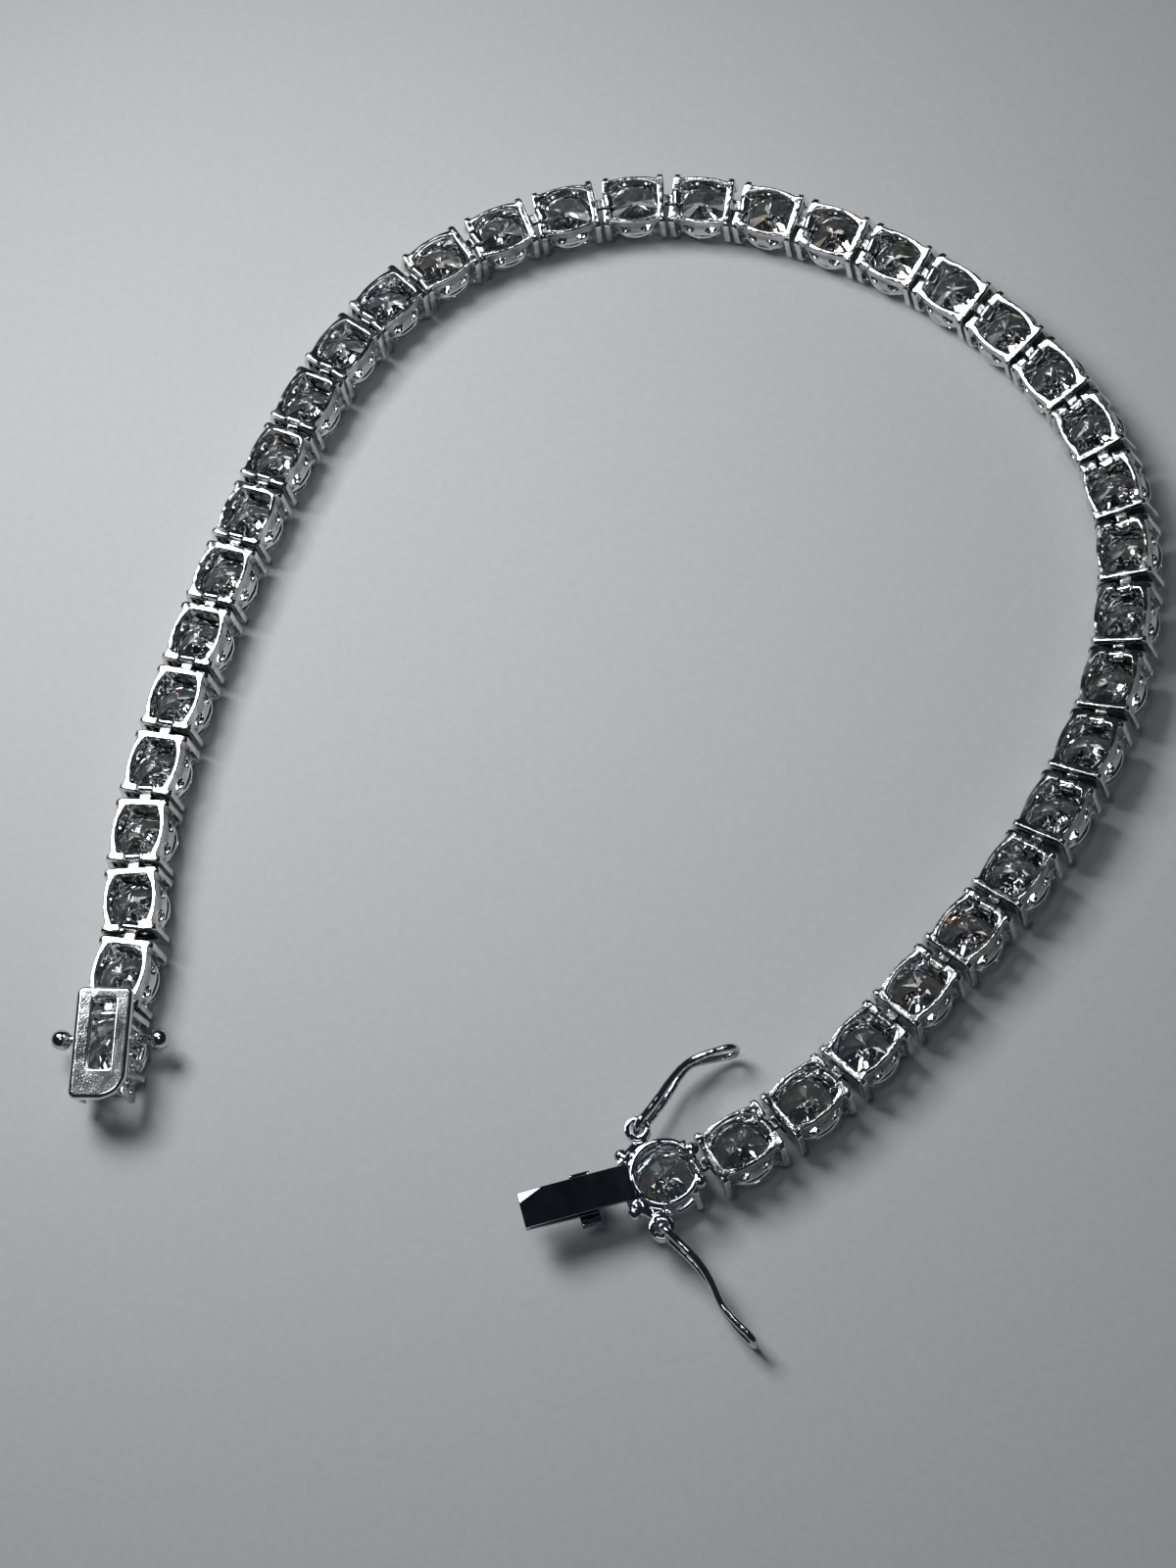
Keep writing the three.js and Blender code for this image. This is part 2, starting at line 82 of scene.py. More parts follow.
class Bench:
    """A workbench that shapes solids in millimetres with Blender's modelling operators."""

    @staticmethod
    def clear() -> None:
        """Deselects everything in object mode."""
        if bpy.context.object and bpy.context.object.mode != "OBJECT":
            bpy.ops.object.mode_set(mode="OBJECT")
        bpy.ops.object.select_all(action="DESELECT")

    @staticmethod
    def pick(piece: bpy.types.Object) -> None:
        """Makes a piece the only selected and active one."""
        Bench.clear()
        piece.select_set(True)
        bpy.context.view_layer.objects.active = piece

    @staticmethod
    def resize_and_move(size: Point, centre: Point) -> None:
        """Scales and moves the new primitive in edit mode, where it is selected all over.

        Args:
            size: Factors along x, y and z.
            centre: Where its middle goes.
        """
        bpy.ops.object.mode_set(mode="EDIT")
        bpy.ops.transform.resize(value=size)
        bpy.ops.transform.translate(value=centre)
        bpy.ops.object.mode_set(mode="OBJECT")

    @staticmethod
    def block(low: Point, high: Point) -> bpy.types.Object:
        """Adds a block between two corners.

        Args:
            low: Lowest corner.
            high: Highest corner.

        Returns:
            The block.
        """
        Bench.clear()
        bpy.ops.mesh.primitive_cube_add(size=1.0)
        size = tuple(b - a for a, b in zip(low, high))
        centre = tuple((a + b) / 2 for a, b in zip(low, high))
        Bench.resize_and_move(size, centre)
        return bpy.context.object

    @staticmethod
    def bar(along: Span, half: float, heights: Span) -> bpy.types.Object:
        """Adds a block that reaches evenly across the station.

        Args:
            along: Its two ends along the station.
            half: Half its width.
            heights: Height of its lower and upper face.

        Returns:
            The bar.
        """
        return Bench.block((along[0], -half, heights[0]), (along[1], half, heights[1]))

    @staticmethod
    def wing(side: int, along: Span, out: Span, heights: Span) -> bpy.types.Object:
        """Adds a block that lies on one side of the station.

        Args:
            side: 1 for the left side, -1 for the right one.
            along: Its two ends along the station.
            out: Distance of its inner and outer face from the middle.
            heights: Height of its lower and upper face.

        Returns:
            The wing.
        """
        near, far = sorted(side * value for value in out)
        return Bench.block((along[0], near, heights[0]), (along[1], far, heights[1]))

    @staticmethod
    def drum(half: Span, heights: Span, sides: int) -> bpy.types.Object:
        """Adds an upright round or oval drum over the middle of the station.

        Args:
            half: Half its length along x and along y.
            heights: Height of its lower and upper face.
            sides: Number of its sides.

        Returns:
            The drum.
        """
        bottom, top = heights
        Bench.clear()
        bpy.ops.mesh.primitive_cylinder_add(vertices=sides, radius=1.0, depth=1.0)
        Bench.resize_and_move((half[0], half[1], top - bottom), (0.0, 0.0, (bottom + top) / 2))
        return bpy.context.object

    @staticmethod
    def rod(start: Point, end: Point, radius: float, sides: int = 20) -> bpy.types.Object:
        """Adds a straight round rod between two points.

        Args:
            start: Middle of one end.
            end: Middle of the other end.
            radius: Its radius.
            sides: Number of its sides.

        Returns:
            The rod.
        """
        Bench.clear()
        line = Vector(end) - Vector(start)
        bpy.ops.mesh.primitive_cylinder_add(
            vertices=sides,
            radius=radius,
            depth=line.length,
            location=(Vector(start) + Vector(end)) / 2,
            rotation=line.to_track_quat("Z", "Y").to_euler(),
        )
        bpy.ops.object.transform_apply(location=True, rotation=True, scale=False)
        return bpy.context.object

    @staticmethod
    def axle(
        x: float, half: float, height: float, radius: float, sides: int = 20
    ) -> bpy.types.Object:
        """Adds a round rod that reaches evenly across the station.

        Args:
            x: Its place along the station.
            half: Half its length.
            height: Height of its middle line.
            radius: Its radius.
            sides: Number of its sides.

        Returns:
            The rod.
        """
        return Bench.rod((x, -half, height), (x, half, height), radius, sides)

    @staticmethod
    def ball(centre: Point, radius: float, stretch: Point = (1.0, 1.0, 1.0)) -> bpy.types.Object:
        """Adds a ball.

        Args:
            centre: Its middle.
            radius: Its radius.
            stretch: Factors along x, y and z.

        Returns:
            The ball.
        """
        Bench.clear()
        bpy.ops.mesh.primitive_uv_sphere_add(segments=24, ring_count=14, radius=radius)
        Bench.resize_and_move(stretch, centre)
        return bpy.context.object

    @staticmethod
    def hoop(radius: float, thickness: float, height: float, tall: float = 1.0) -> bpy.types.Object:
        """Adds a round rail that lies level about the station's upright axis.

        Args:
            radius: Radius of its middle line.
            thickness: Thickness of the rail.
            height: Height of its middle line.
            tall: Its upright stretch.

        Returns:
            The rail.
        """
        Bench.clear()
        bpy.ops.mesh.primitive_torus_add(
            major_segments=56,
            minor_segments=14,
            major_radius=radius,
            minor_radius=thickness / 2,
        )
        Bench.resize_and_move((1.0, 1.0, tall), (0.0, 0.0, height))
        return bpy.context.object

    @staticmethod
    def select_faces(piece: bpy.types.Object, test: Callable[[Vector, Vector], bool]) -> None:
        """Selects faces in edit mode by their place and normal.

        Args:
            piece: The piece, in edit mode.
            test: Says of a face's middle and normal whether it is wanted.
        """
        bpy.ops.mesh.select_all(action="DESELECT")
        bpy.ops.mesh.select_mode(type="FACE")
        shape = bmesh.from_edit_mesh(piece.data)
        for face in shape.faces:
            face.select = test(face.calc_center_median(), face.normal)
        shape.select_flush_mode()
        bmesh.update_edit_mesh(piece.data)

    @staticmethod
    def bevel_edges(
        piece: bpy.types.Object,
        width: float,
        segments: int,
        test: Callable[[Vector, Vector], bool],
    ) -> bpy.types.Object:
        """Rounds edges that a test picks by their two ends.

        Args:
            piece: The piece.
            width: Width of the rounding.
            segments: Number of its steps.
            test: Says of an edge's two ends whether it is rounded.

        Returns:
            The same piece.
        """
        Bench.pick(piece)
        bpy.ops.object.mode_set(mode="EDIT")
        bpy.ops.mesh.select_all(action="DESELECT")
        bpy.ops.mesh.select_mode(type="EDGE")
        shape = bmesh.from_edit_mesh(piece.data)
        for edge in shape.edges:
            edge.select = test(edge.verts[0].co, edge.verts[1].co)
        shape.select_flush_mode()
        bmesh.update_edit_mesh(piece.data)
        bpy.ops.mesh.bevel(offset=width, segments=segments, affect="EDGES", clamp_overlap=True)
        bpy.ops.object.mode_set(mode="OBJECT")
        return piece

    @staticmethod
    def post(foot: Point, head: Point, foot_size: Span, head_size: Span) -> bpy.types.Object:
        """Adds a leaning, tapered post by moving and scaling the top of a block.

        Args:
            foot: Middle of its lower end.
            head: Middle of its upper end.
            foot_size: Widths of the lower end along x and y.
            head_size: Widths of the upper end along x and y.

        Returns:
            The post.
        """
        low = (foot[0] - foot_size[0] / 2, foot[1] - foot_size[1] / 2, foot[2])
        high = (foot[0] + foot_size[0] / 2, foot[1] + foot_size[1] / 2, head[2])
        piece = Bench.block(low, high)
        bpy.ops.object.mode_set(mode="EDIT")
        Bench.select_faces(piece, lambda middle, normal: normal.z > UPRIGHT)
        bpy.ops.transform.resize(
            value=(head_size[0] / foot_size[0], head_size[1] / foot_size[1], 1.0)
        )
        bpy.ops.transform.translate(value=(head[0] - foot[0], head[1] - foot[1], 0.0))
        bpy.ops.object.mode_set(mode="OBJECT")
        return piece

    @staticmethod
    def modify(piece: bpy.types.Object, kind: str, **settings: object) -> bpy.types.Object:
        """Adds a modifier and applies it.

        Args:
            piece: The piece.
            kind: Blender's name of the modifier type.
            **settings: Its settings by name.

        Returns:
            The same piece.
        """
        Bench.pick(piece)
        modifier = piece.modifiers.new(kind.lower(), kind)
        for name, value in settings.items():
            setattr(modifier, name, value)
        bpy.ops.object.modifier_apply(modifier=modifier.name)
        return piece

    @staticmethod
    def cut(piece: bpy.types.Object, cutter: bpy.types.Object) -> bpy.types.Object:
        """Takes one solid out of another and throws the cutter away.

        Args:
            piece: The solid that stays.
            cutter: The solid that is taken out.

        Returns:
            The cut piece.
        """
        Bench.modify(piece, "BOOLEAN", operation="DIFFERENCE", object=cutter, solver="EXACT")
        bpy.data.objects.remove(cutter)
        return piece

    @staticmethod
    def cut_beyond(piece: bpy.types.Object, side: int, limit: float) -> bpy.types.Object:
        """Cuts off what lies past a distance along the station, on one end.

        Args:
            piece: The piece.
            side: 1 for the far end, -1 for the near one.
            limit: The distance.

        Returns:
            The cut piece.
        """
        length, half_width, height = 2.0, 3.0, 5.0
        near, far = sorted((side * limit, side * (limit + length)))
        return Bench.cut(piece, Bench.bar((near, far), half_width, (0.0, height)))

    @staticmethod
    def crisp(piece: bpy.types.Object, weight: int) -> bpy.types.Object:
        """Shades rounded edges smooth and flat faces level.

        Args:
            piece: The piece.
            weight: How much the large faces pull the shading towards theirs.

        Returns:
            The same piece.
        """
        sharpest = 40
        Bench.pick(piece)
        bpy.ops.object.shade_smooth_by_angle(angle=math.radians(sharpest))
        return Bench.modify(piece, "WEIGHTED_NORMAL", keep_sharp=True, weight=weight)

    @staticmethod
    def join(parts: Iterable[bpy.types.Object], name: str) -> bpy.types.Object:
        """Joins parts into one object.

        Args:
            parts: The parts.
            name: Name of the joined object.

        Returns:
            The joined object.
        """
        parts = list(parts)
        Bench.pick(parts[0])
        for part in parts[1:]:
            part.select_set(True)
        if len(parts) > 1:
            bpy.ops.object.join()
        parts[0].name = name
        return parts[0]

    @staticmethod
    def paint_shade(piece: bpy.types.Object, depth: Callable[[Vector], float]) -> None:
        """Paints shade into the metal: marks how dark each corner of a mesh is painted.

        Args:
            piece: The piece.
            depth: Says of a place how much painted shade it gets, from 0 to 1.
        """
        marks = piece.data.attributes.new(PAINTED_SHADE, "FLOAT", "POINT")
        for corner, mark in zip(piece.data.vertices, marks.data):
            mark.value = depth(corner.co)

    @staticmethod
    def cast(
        parts: Iterable[bpy.types.Object],
        name: str,
        grain: float,
        melt: int,
        keep: float,
    ) -> bpy.types.Object:
        """Melts overlapping parts into one skin with soft inner corners, as a casting has.

        Args:
            parts: Closed solids that overlap.
            name: Name of the casting.
            grain: Voxel size, in millimetres.
            melt: Number of smoothing steps.
            keep: Share of the faces that is kept at the end.

        Returns:
            The casting.
        """
        wave_length, wave_depth = 0.7, 0.05
        piece = Bench.join(parts, name)
        Bench.modify(piece, "REMESH", mode="VOXEL", voxel_size=grain, adaptivity=0.0)
        Bench.modify(piece, "SMOOTH", factor=0.5, iterations=melt)
        uneven = bpy.data.textures.new(f"{name}_uneven", "CLOUDS")
        uneven.noise_scale = wave_length
        Bench.modify(piece, "DISPLACE", texture=uneven, strength=wave_depth, mid_level=0.5)
        if keep < 1.0:
            Bench.modify(piece, "DECIMATE", ratio=keep)
        bpy.ops.object.shade_smooth()
        return piece


@dataclass(frozen=True)
class Place:
    """Where a station stands: the point under its middle, and its directions."""

    middle: Vector
    along: Vector
    up: Vector

    @property
    def matrix(self) -> Matrix:
        """Turns millimetres of the station into metres of the frame."""
        across = self.up.cross(self.along)
        turned = Matrix((self.along, across, self.up)).transposed().to_4x4()
        return Matrix.Translation(self.middle) @ turned @ Matrix.Scale(MM, 4)

    @classmethod
    def of_node(cls, node: str, tip_beyond: float) -> "Place":
        """Reads a station's place from its solid.

        The level faces give the up direction, the lying table of the stone the middle, and the
        parts that reach far out of the station the direction along it.

        Args:
            node: Name of the solid.
            tip_beyond: Distance in millimetres past which a corner belongs to the far tip.

        Returns:
            The place.
        """
        alike_from, table_low, table_high = 0.9995, 0.04 * MM, 0.3 * MM
        mesh = frame["nodes"][node].data
        areas: dict[tuple[float, ...], float] = {}
        for face in mesh.polygons:
            key = tuple(round(value, 2) for value in face.normal)
            areas[key] = areas.get(key, 0.0) + face.area
        level = max((key for key in areas if key[2] > 0.5), key=lambda key: areas[key])
        guide = Vector(level).normalized()
        alike = [face for face in mesh.polygons if face.normal.dot(guide) > alike_from]
        up = sum((face.normal * face.area for face in alike), Vector()).normalized()
        corners = np.array([corner.co for corner in mesh.vertices], float)
        heights = corners @ np.array(up)
        lowest = heights.min()
        table = corners[(heights > lowest + table_low) & (heights < lowest + table_high)]
        centre = Vector(np.unique(np.round(table, 7), axis=0).mean(axis=0))
        middle = centre - up * (centre.dot(up) - lowest)
        offsets = corners - np.array(middle)
        flat = offsets - np.outer(offsets @ np.array(up), np.array(up))
        tips = flat[np.linalg.norm(flat, axis=1) > tip_beyond * MM]
        along = Vector(tips.mean(axis=0)).normalized() if len(tips) else Vector((1.0, 0.0, 0.0))
        along = (along - up * along.dot(up)).normalized()
        return cls(middle, along, up)

    def towards(self, target: Vector) -> "Place":
        """The same place, turned to look at a point."""
        line = target - self.middle
        return Place(self.middle, (line - self.up * line.dot(self.up)).normalized(), self.up)


class Chain:
    """The places of all stations, read from the frame."""

    def __init__(self) -> None:
        """Reads the links, the clasp box and the tongue station."""
        hook_tip, tongue_tip = 3.2, 5.0
        self.names = sorted(name for name in frame["nodes"] if name.startswith("link_"))
        self.links = [Place.of_node(name, hook_tip) for name in self.names]
        self.tongue = Place.of_node("tongue_station", tongue_tip)
        first, second = self.links[0], self.links[1]
        step = second.middle - first.middle
        self.pitch = 2 * step.dot(first.along) / (1 + first.along.dot(second.along))
        joint = first.middle - first.along * (self.pitch / 2)
        self.box = Place.of_node("clasp_box", tongue_tip).towards(joint)


@dataclass
class RoundBrilliant:
    """A round brilliant stone with its table down, cut facet by facet (millimetres)."""

    radius: float = 2.0
    table_height: float = 0.08
    girdle_low: float = 0.68
    girdle_high: float = 0.78
    culet: float = 2.46
    table_share: float = 0.58
    star_share: float = 0.5
    lower_share: float = 0.2
    scallop: float = 0.02
    folds: int = 8
    girdle_sides: int = 64

    def at(self, radius: float, turn: float, height: float) -> Vector:
        """A point given by radius, degrees round the stone and height."""
        angle = math.radians(turn)
        return Vector((radius * math.cos(angle), radius * math.sin(angle), height))

    def facet(self, piece: bpy.types.Object, a: Vector, b: Vector, c: Vector) -> None:
        """Cuts one facet through three points and keeps the stone's side of it.

        Args:
            piece: The stone, in edit mode, which is not used.
            a: First point.
            b: Second point.
            c: Third point.
        """
        normal = (b - a).cross(c - a).normalized()
        heart = Vector((0.0, 0.0, (self.girdle_low + self.girdle_high) / 2))
        if normal.dot(a - heart) < 0:
            normal = -normal
        bpy.ops.mesh.select_all(action="SELECT")
        bpy.ops.mesh.bisect(
            plane_co=a,
            plane_no=normal,
            use_fill=True,
            clear_outer=True,
            threshold=1e-5,
        )

    def build(self, name: str) -> bpy.types.Object:
        """Cuts the stone.

        Args:
            name: Name of the stone.

        Returns:
            The stone.
        """
        piece = Bench.drum(
            (self.radius, self.radius), (self.table_height, self.culet), self.girdle_sides
        )
        piece.name = name
        bpy.ops.object.mode_set(mode="EDIT")
        turn = 360 / self.folds
        half = turn / 2
        table = self.radius * self.table_share
        slope = (self.culet - self.girdle_high) / self.radius
        crown = (self.girdle_low - self.table_height) / (self.radius - table)
        inner = self.radius * self.lower_share
        cos_half = math.cos(math.radians(half))
        star = table * cos_half + (self.radius - table * cos_half) * self.star_share
        star_height = self.table_height + (star * cos_half - table) * crown
        ridge_height = self.culet - inner * cos_half * slope
        top = self.at(0.0, 0.0, self.culet)
        for index in range(self.folds):
            main = index * turn
            across = self.at(self.radius, main + 90, 0.0)
            low = self.at(self.radius, main, self.girdle_low)
            high = self.at(self.radius, main, self.girdle_high)
            self.facet(piece, top, high, top + across)
            self.facet(piece, self.at(table, main, self.table_height), low, low + across)
            corners = [self.at(table, main + step, self.table_height) for step in (0.0, turn)]
            self.facet(piece, *corners, self.at(star, main + half, star_height))
            for side in (-1, 1):
                ridge = self.at(inner, main + side * half, ridge_height)
                edge = self.at(self.radius, main + side * half, self.girdle_high + self.scallop)
                self.facet(piece, high, ridge, edge)
                peak = self.at(star, main + side * half, star_height)
                edge = self.at(self.radius, main + side * half, self.girdle_low - self.scallop)
                self.facet(piece, low, peak, edge)
        bpy.ops.object.mode_set(mode="OBJECT")
        bpy.ops.object.shade_flat()
        return piece


@dataclass
class Basket:
    """The parts that every four-prong setting has under its back rim (millimetres)."""

    girdle_radius: float = 2.0
    rail_height: float = RAIL_HEIGHT
    rail_thickness: float = 0.34
    rail_tall: float = 1.3
    prong_width: float = 0.42
    prong_head: float = 0.4
    knee_out: float = 1.8
    knee_height: float = 0.62
    tip: float = 1.3
    tip_width: float = 0.24
    wall: float = 0.26
    wall_bottom: float = 1.0
    overlap: float = 0.02
    window_offset: float = 0.76
    window_half_length: float = 0.4
    window_half_height: float = 0.42
    window_height: float = 1.86
    window_reach: float = 3.0

    @property
    def rail_radius(self) -> float:
        """Radius of the seat rail's middle line."""
        return self.girdle_radius - self.rail_thickness / 4

    def prongs(self, foot_x: float, head: Point) -> list[bpy.types.Object]:
        """Four prongs: a flat post from the rim to the seat rail and a claw over the crown.

        Args:
            foot_x: Place of the post feet along the station.
            head: Middle of the post head on the far left.

        Returns:
            The parts.
        """
        parts = []
        narrow = (self.prong_width, self.prong_width)
        wide = (self.prong_head, self.prong_head)
        point = (self.tip_width, self.tip_width)
        for side_x, side_y in product(SIDES, SIDES):
            knee = (side_x * foot_x, side_y * self.knee_out, self.knee_height)
            top = (side_x * head[0], side_y * head[1], head[2])
            bend = (knee[0], knee[1], self.knee_height + self.prong_width / 2)
            tip = (side_x * self.tip, side_y * self.tip, 0.0)
            parts.append(Bench.post(knee, top, narrow, wide))
            parts.append(Bench.post(tip, bend, point, narrow))
        return parts

    def rail(self) -> bpy.types.Object:
        """The rail that the girdle of the stone sits on."""
        return Bench.hoop(
            self.rail_radius, self.rail_thickness, self.rail_height, self.rail_tall
        )

    def frustum(self, heights: Span, foot: float, half: Span) -> bpy.types.Object:
        """A solid that is round at its foot and oval at its head.

        Args:
            heights: Height of its foot and of its head.
            foot: Radius of the foot.
            half: Half length and half width of the head.

        Returns:
            The solid.
        """
        piece = Bench.drum((foot, foot), heights, ROUND_SIDES)
        bpy.ops.object.mode_set(mode="EDIT")
        Bench.select_faces(piece, lambda middle, normal: normal.z > UPRIGHT)
        bpy.ops.transform.resize(value=(half[0] / foot, half[1] / foot, 1.0))
        bpy.ops.object.mode_set(mode="OBJECT")
        return piece

    def walls(self, half: Span, top: float, limit: float) -> bpy.types.Object:
        """The two side walls between rail and rim, each pierced by two oval windows.

        Args:
            half: Half length and half width of the rim that they carry.
            top: Height of their upper edge.
            limit: Greatest distance along the station from its middle.

        Returns:
            The walls.
        """
        outer = self.girdle_radius - self.overlap
        shell = self.frustum((self.wall_bottom, top), outer, half)
        heights = (self.wall_bottom - self.overlap, top + self.overlap)
        inner = (half[0] - self.wall, half[1] - self.wall)
        shell = Bench.cut(shell, self.frustum(heights, outer - self.wall, inner))
        for side in SIDES:
            x = side * self.window_offset
            hole = Bench.axle(
                x, self.window_reach, self.window_height, self.window_half_height, HOLE_SIDES
            )
            bpy.ops.object.mode_set(mode="EDIT")
            bpy.ops.transform.resize(
                value=(self.window_half_length / self.window_half_height, 1.0, 1.0),
                center_override=(x, 0.0, self.window_height),
            )
            bpy.ops.object.mode_set(mode="OBJECT")
            shell = Bench.cut(shell, hole)
            shell = Bench.cut_beyond(shell, side, limit)
        return shell


@dataclass
class Hook:
    """The hook that reaches into the next station and ends in a small roll (millimetres)."""

    root: float = 1.75
    reach: float = 2.93
    half_width: float = 0.38
    arm: Span = (2.3, 2.6)
    roll_radius: float = 0.28
    roll_half: float = 0.48
    roll_height: float = 2.7
    knuckle_radius: float = 0.22
    curl: Span = (3.12, 3.36)
    curl_bottom: float = 1.72
    toe_back: float = 0.2
    toe_height: float = 0.24

    def parts(self) -> list[bpy.types.Object]:
        """The arm, the roll over the keeper bar, the curl behind it and its toe."""
        half, middle = self.half_width, self.roll_height
        toe = (self.curl[0] - self.toe_back, self.curl[1])
        toe_heights = (self.curl_bottom, self.curl_bottom + self.toe_height)
        roll = Bench.axle(self.reach, self.roll_half, middle, self.roll_radius)
        return [
            Bench.bar((self.root, self.reach), half, self.arm),
            roll,
            Bench.axle(self.curl[0], half, middle, self.knuckle_radius),
            Bench.bar(self.curl, half, (self.curl_bottom, middle)),
            Bench.bar(toe, half, toe_heights),
        ]


@dataclass
class LinkSetting:
    """Setting of one link: open back rim with a bar and two ears, basket and hook (millimetres)."""

    half_length: float
    half_width: float
    height: float
    rim_height: float = 0.42
    side_sweep: float = 3.4
    opening_sweep: float = 2.25
    through: float = 0.3
    band: float = 0.27
    band_trim: float = 0.04
    bar_inner: float = 1.66
    bar_half: float = 1.5
    ear_gap: float = 1.14
    ear_inner: float = 1.6
    nub_radius: float = 0.26
    nub_stretch: Point = (0.9, 1.0, 1.2)
    nub_in: float = 0.8
    nub_drop: float = 1.2
    nub_out: float = 1.5
    post_in: float = 0.23
    post_out: float = 1.52
    post_drop: float = 0.15
    wall_drop: float = 0.3
    wall_trim: float = 0.12
    wall_in: float = 0.02
    end_half: float = 1.42
    end_in: float = 0.1
    end_wall: float = 0.22
    end_bottom: float = 1.35
    sill: Span = (1.1, 1.8)
    keeper_in: float = 0.15
    keeper_low: float = 2.1
    keeper_thick: float = 0.3
    # Where and how deep the painted shade lies, below the rim on the ends and inside the basket.
    shade_drop: float = 0.3
    shade_fade: float = 0.25
    shade_end: float = 0.32
    shade_half: float = 1.45
    shade_ring: float = 0.22
    inner_painted_shade: float = 0.6
    basket: Basket = field(default_factory=Basket)
    hook: Hook = field(default_factory=Hook)

    def rim(self) -> list[bpy.types.Object]:
        """The back rim: a swept band with a long opening, its end bar and its two ears."""
        bottom, top = self.height - self.rim_height, self.height
        band = Bench.drum((self.side_sweep, self.half_width), (bottom, top), ROUND_SIDES)
        opening = (self.opening_sweep, self.half_width - self.band)
        heights = (bottom - self.through, top + self.through)
        band = Bench.cut(band, Bench.drum(opening, heights, ROUND_SIDES))
        for side in SIDES:
            band = Bench.cut_beyond(band, side, self.half_length - self.band_trim)
        bar = Bench.bar((self.bar_inner, self.half_length), self.bar_half, (bottom, top))
        ear = (-self.half_length, -self.ear_inner)
        out = (self.ear_gap / 2, self.bar_half)
        ears = [Bench.wing(side, ear, out, (bottom, top)) for side in SIDES]
        return [band, bar, *ears]

    def nubs(self) -> list[bpy.types.Object]:
        """Round heads of the posts that stand out at the four corners of the rim."""
        x = self.half_length - self.nub_radius * self.nub_in
        z = self.height - self.nub_radius * self.nub_drop
        return [
            Bench.ball((side_x * x, side_y * self.nub_out, z), self.nub_radius, self.nub_stretch)
            for side_x, side_y in product(SIDES, SIDES)
        ]

    def ends(self) -> list[bpy.types.Object]:
        """Walls that close the two ends between the posts, and the keeper bar."""
        outer = self.half_length - self.end_in
        inner = outer - self.end_wall
        keeper = self.keeper_in - self.half_length
        heights = (self.keeper_low, self.keeper_low + self.keeper_thick)
        return [
            Bench.bar((inner, outer), self.end_half, (self.end_bottom, self.height - self.wall_drop)),
            Bench.bar((-outer, -inner), self.end_half, self.sill),
            Bench.bar((keeper, keeper + self.keeper_thick), self.end_half, heights),
        ]

    def painted_shade_depth(self, place: Vector) -> float:
        """How much painted shade lies at a place: most on the end walls between links, some inside the basket.

        Args:
            place: A place on the setting.

        Returns:
            From 0 for bright metal to 1 for black.
        """
        depth = (self.height - self.shade_drop - place.z) / self.shade_fade
        below_rim = min(max(depth, 0.0), 1.0)
        if abs(place.x) > self.half_length - self.shade_end and abs(place.y) < self.shade_half:
            return below_rim
        if math.hypot(place.x, place.y) < self.basket.girdle_radius - self.shade_ring:
            return self.inner_painted_shade * below_rim
        return 0.0

    def build(self, name: str) -> bpy.types.Object:
        """Casts the setting.

        Args:
            name: Name of the setting.

        Returns:
            The setting.
        """
        post_x = self.half_length - self.post_in
        half = (self.side_sweep, self.half_width - self.wall_in)
        limit = self.half_length - self.wall_trim
        parts = [
            *self.rim(),
            *self.nubs(),
            *self.ends(),
            *self.basket.prongs(post_x, (post_x, self.post_out, self.height - self.post_drop)),
            self.basket.rail(),
            self.basket.walls(half, self.height - self.wall_drop, limit),
            *self.hook.parts(),
        ]
        piece = Bench.cast(parts, name, grain=0.045, melt=5, keep=0.23)
        # Painted shade: darkens the end walls and the inside of the basket, where neighbouring links shade them.
        Bench.paint_shade(piece, self.painted_shade_depth)
        return piece


@dataclass(frozen=True)
class Rib:
    """One rib of a clasp wall: places along the station, width, foot outward, foot height."""

    head: float
    foot: float
    width: float
    out: float
    bottom: float = RAIL_HEIGHT


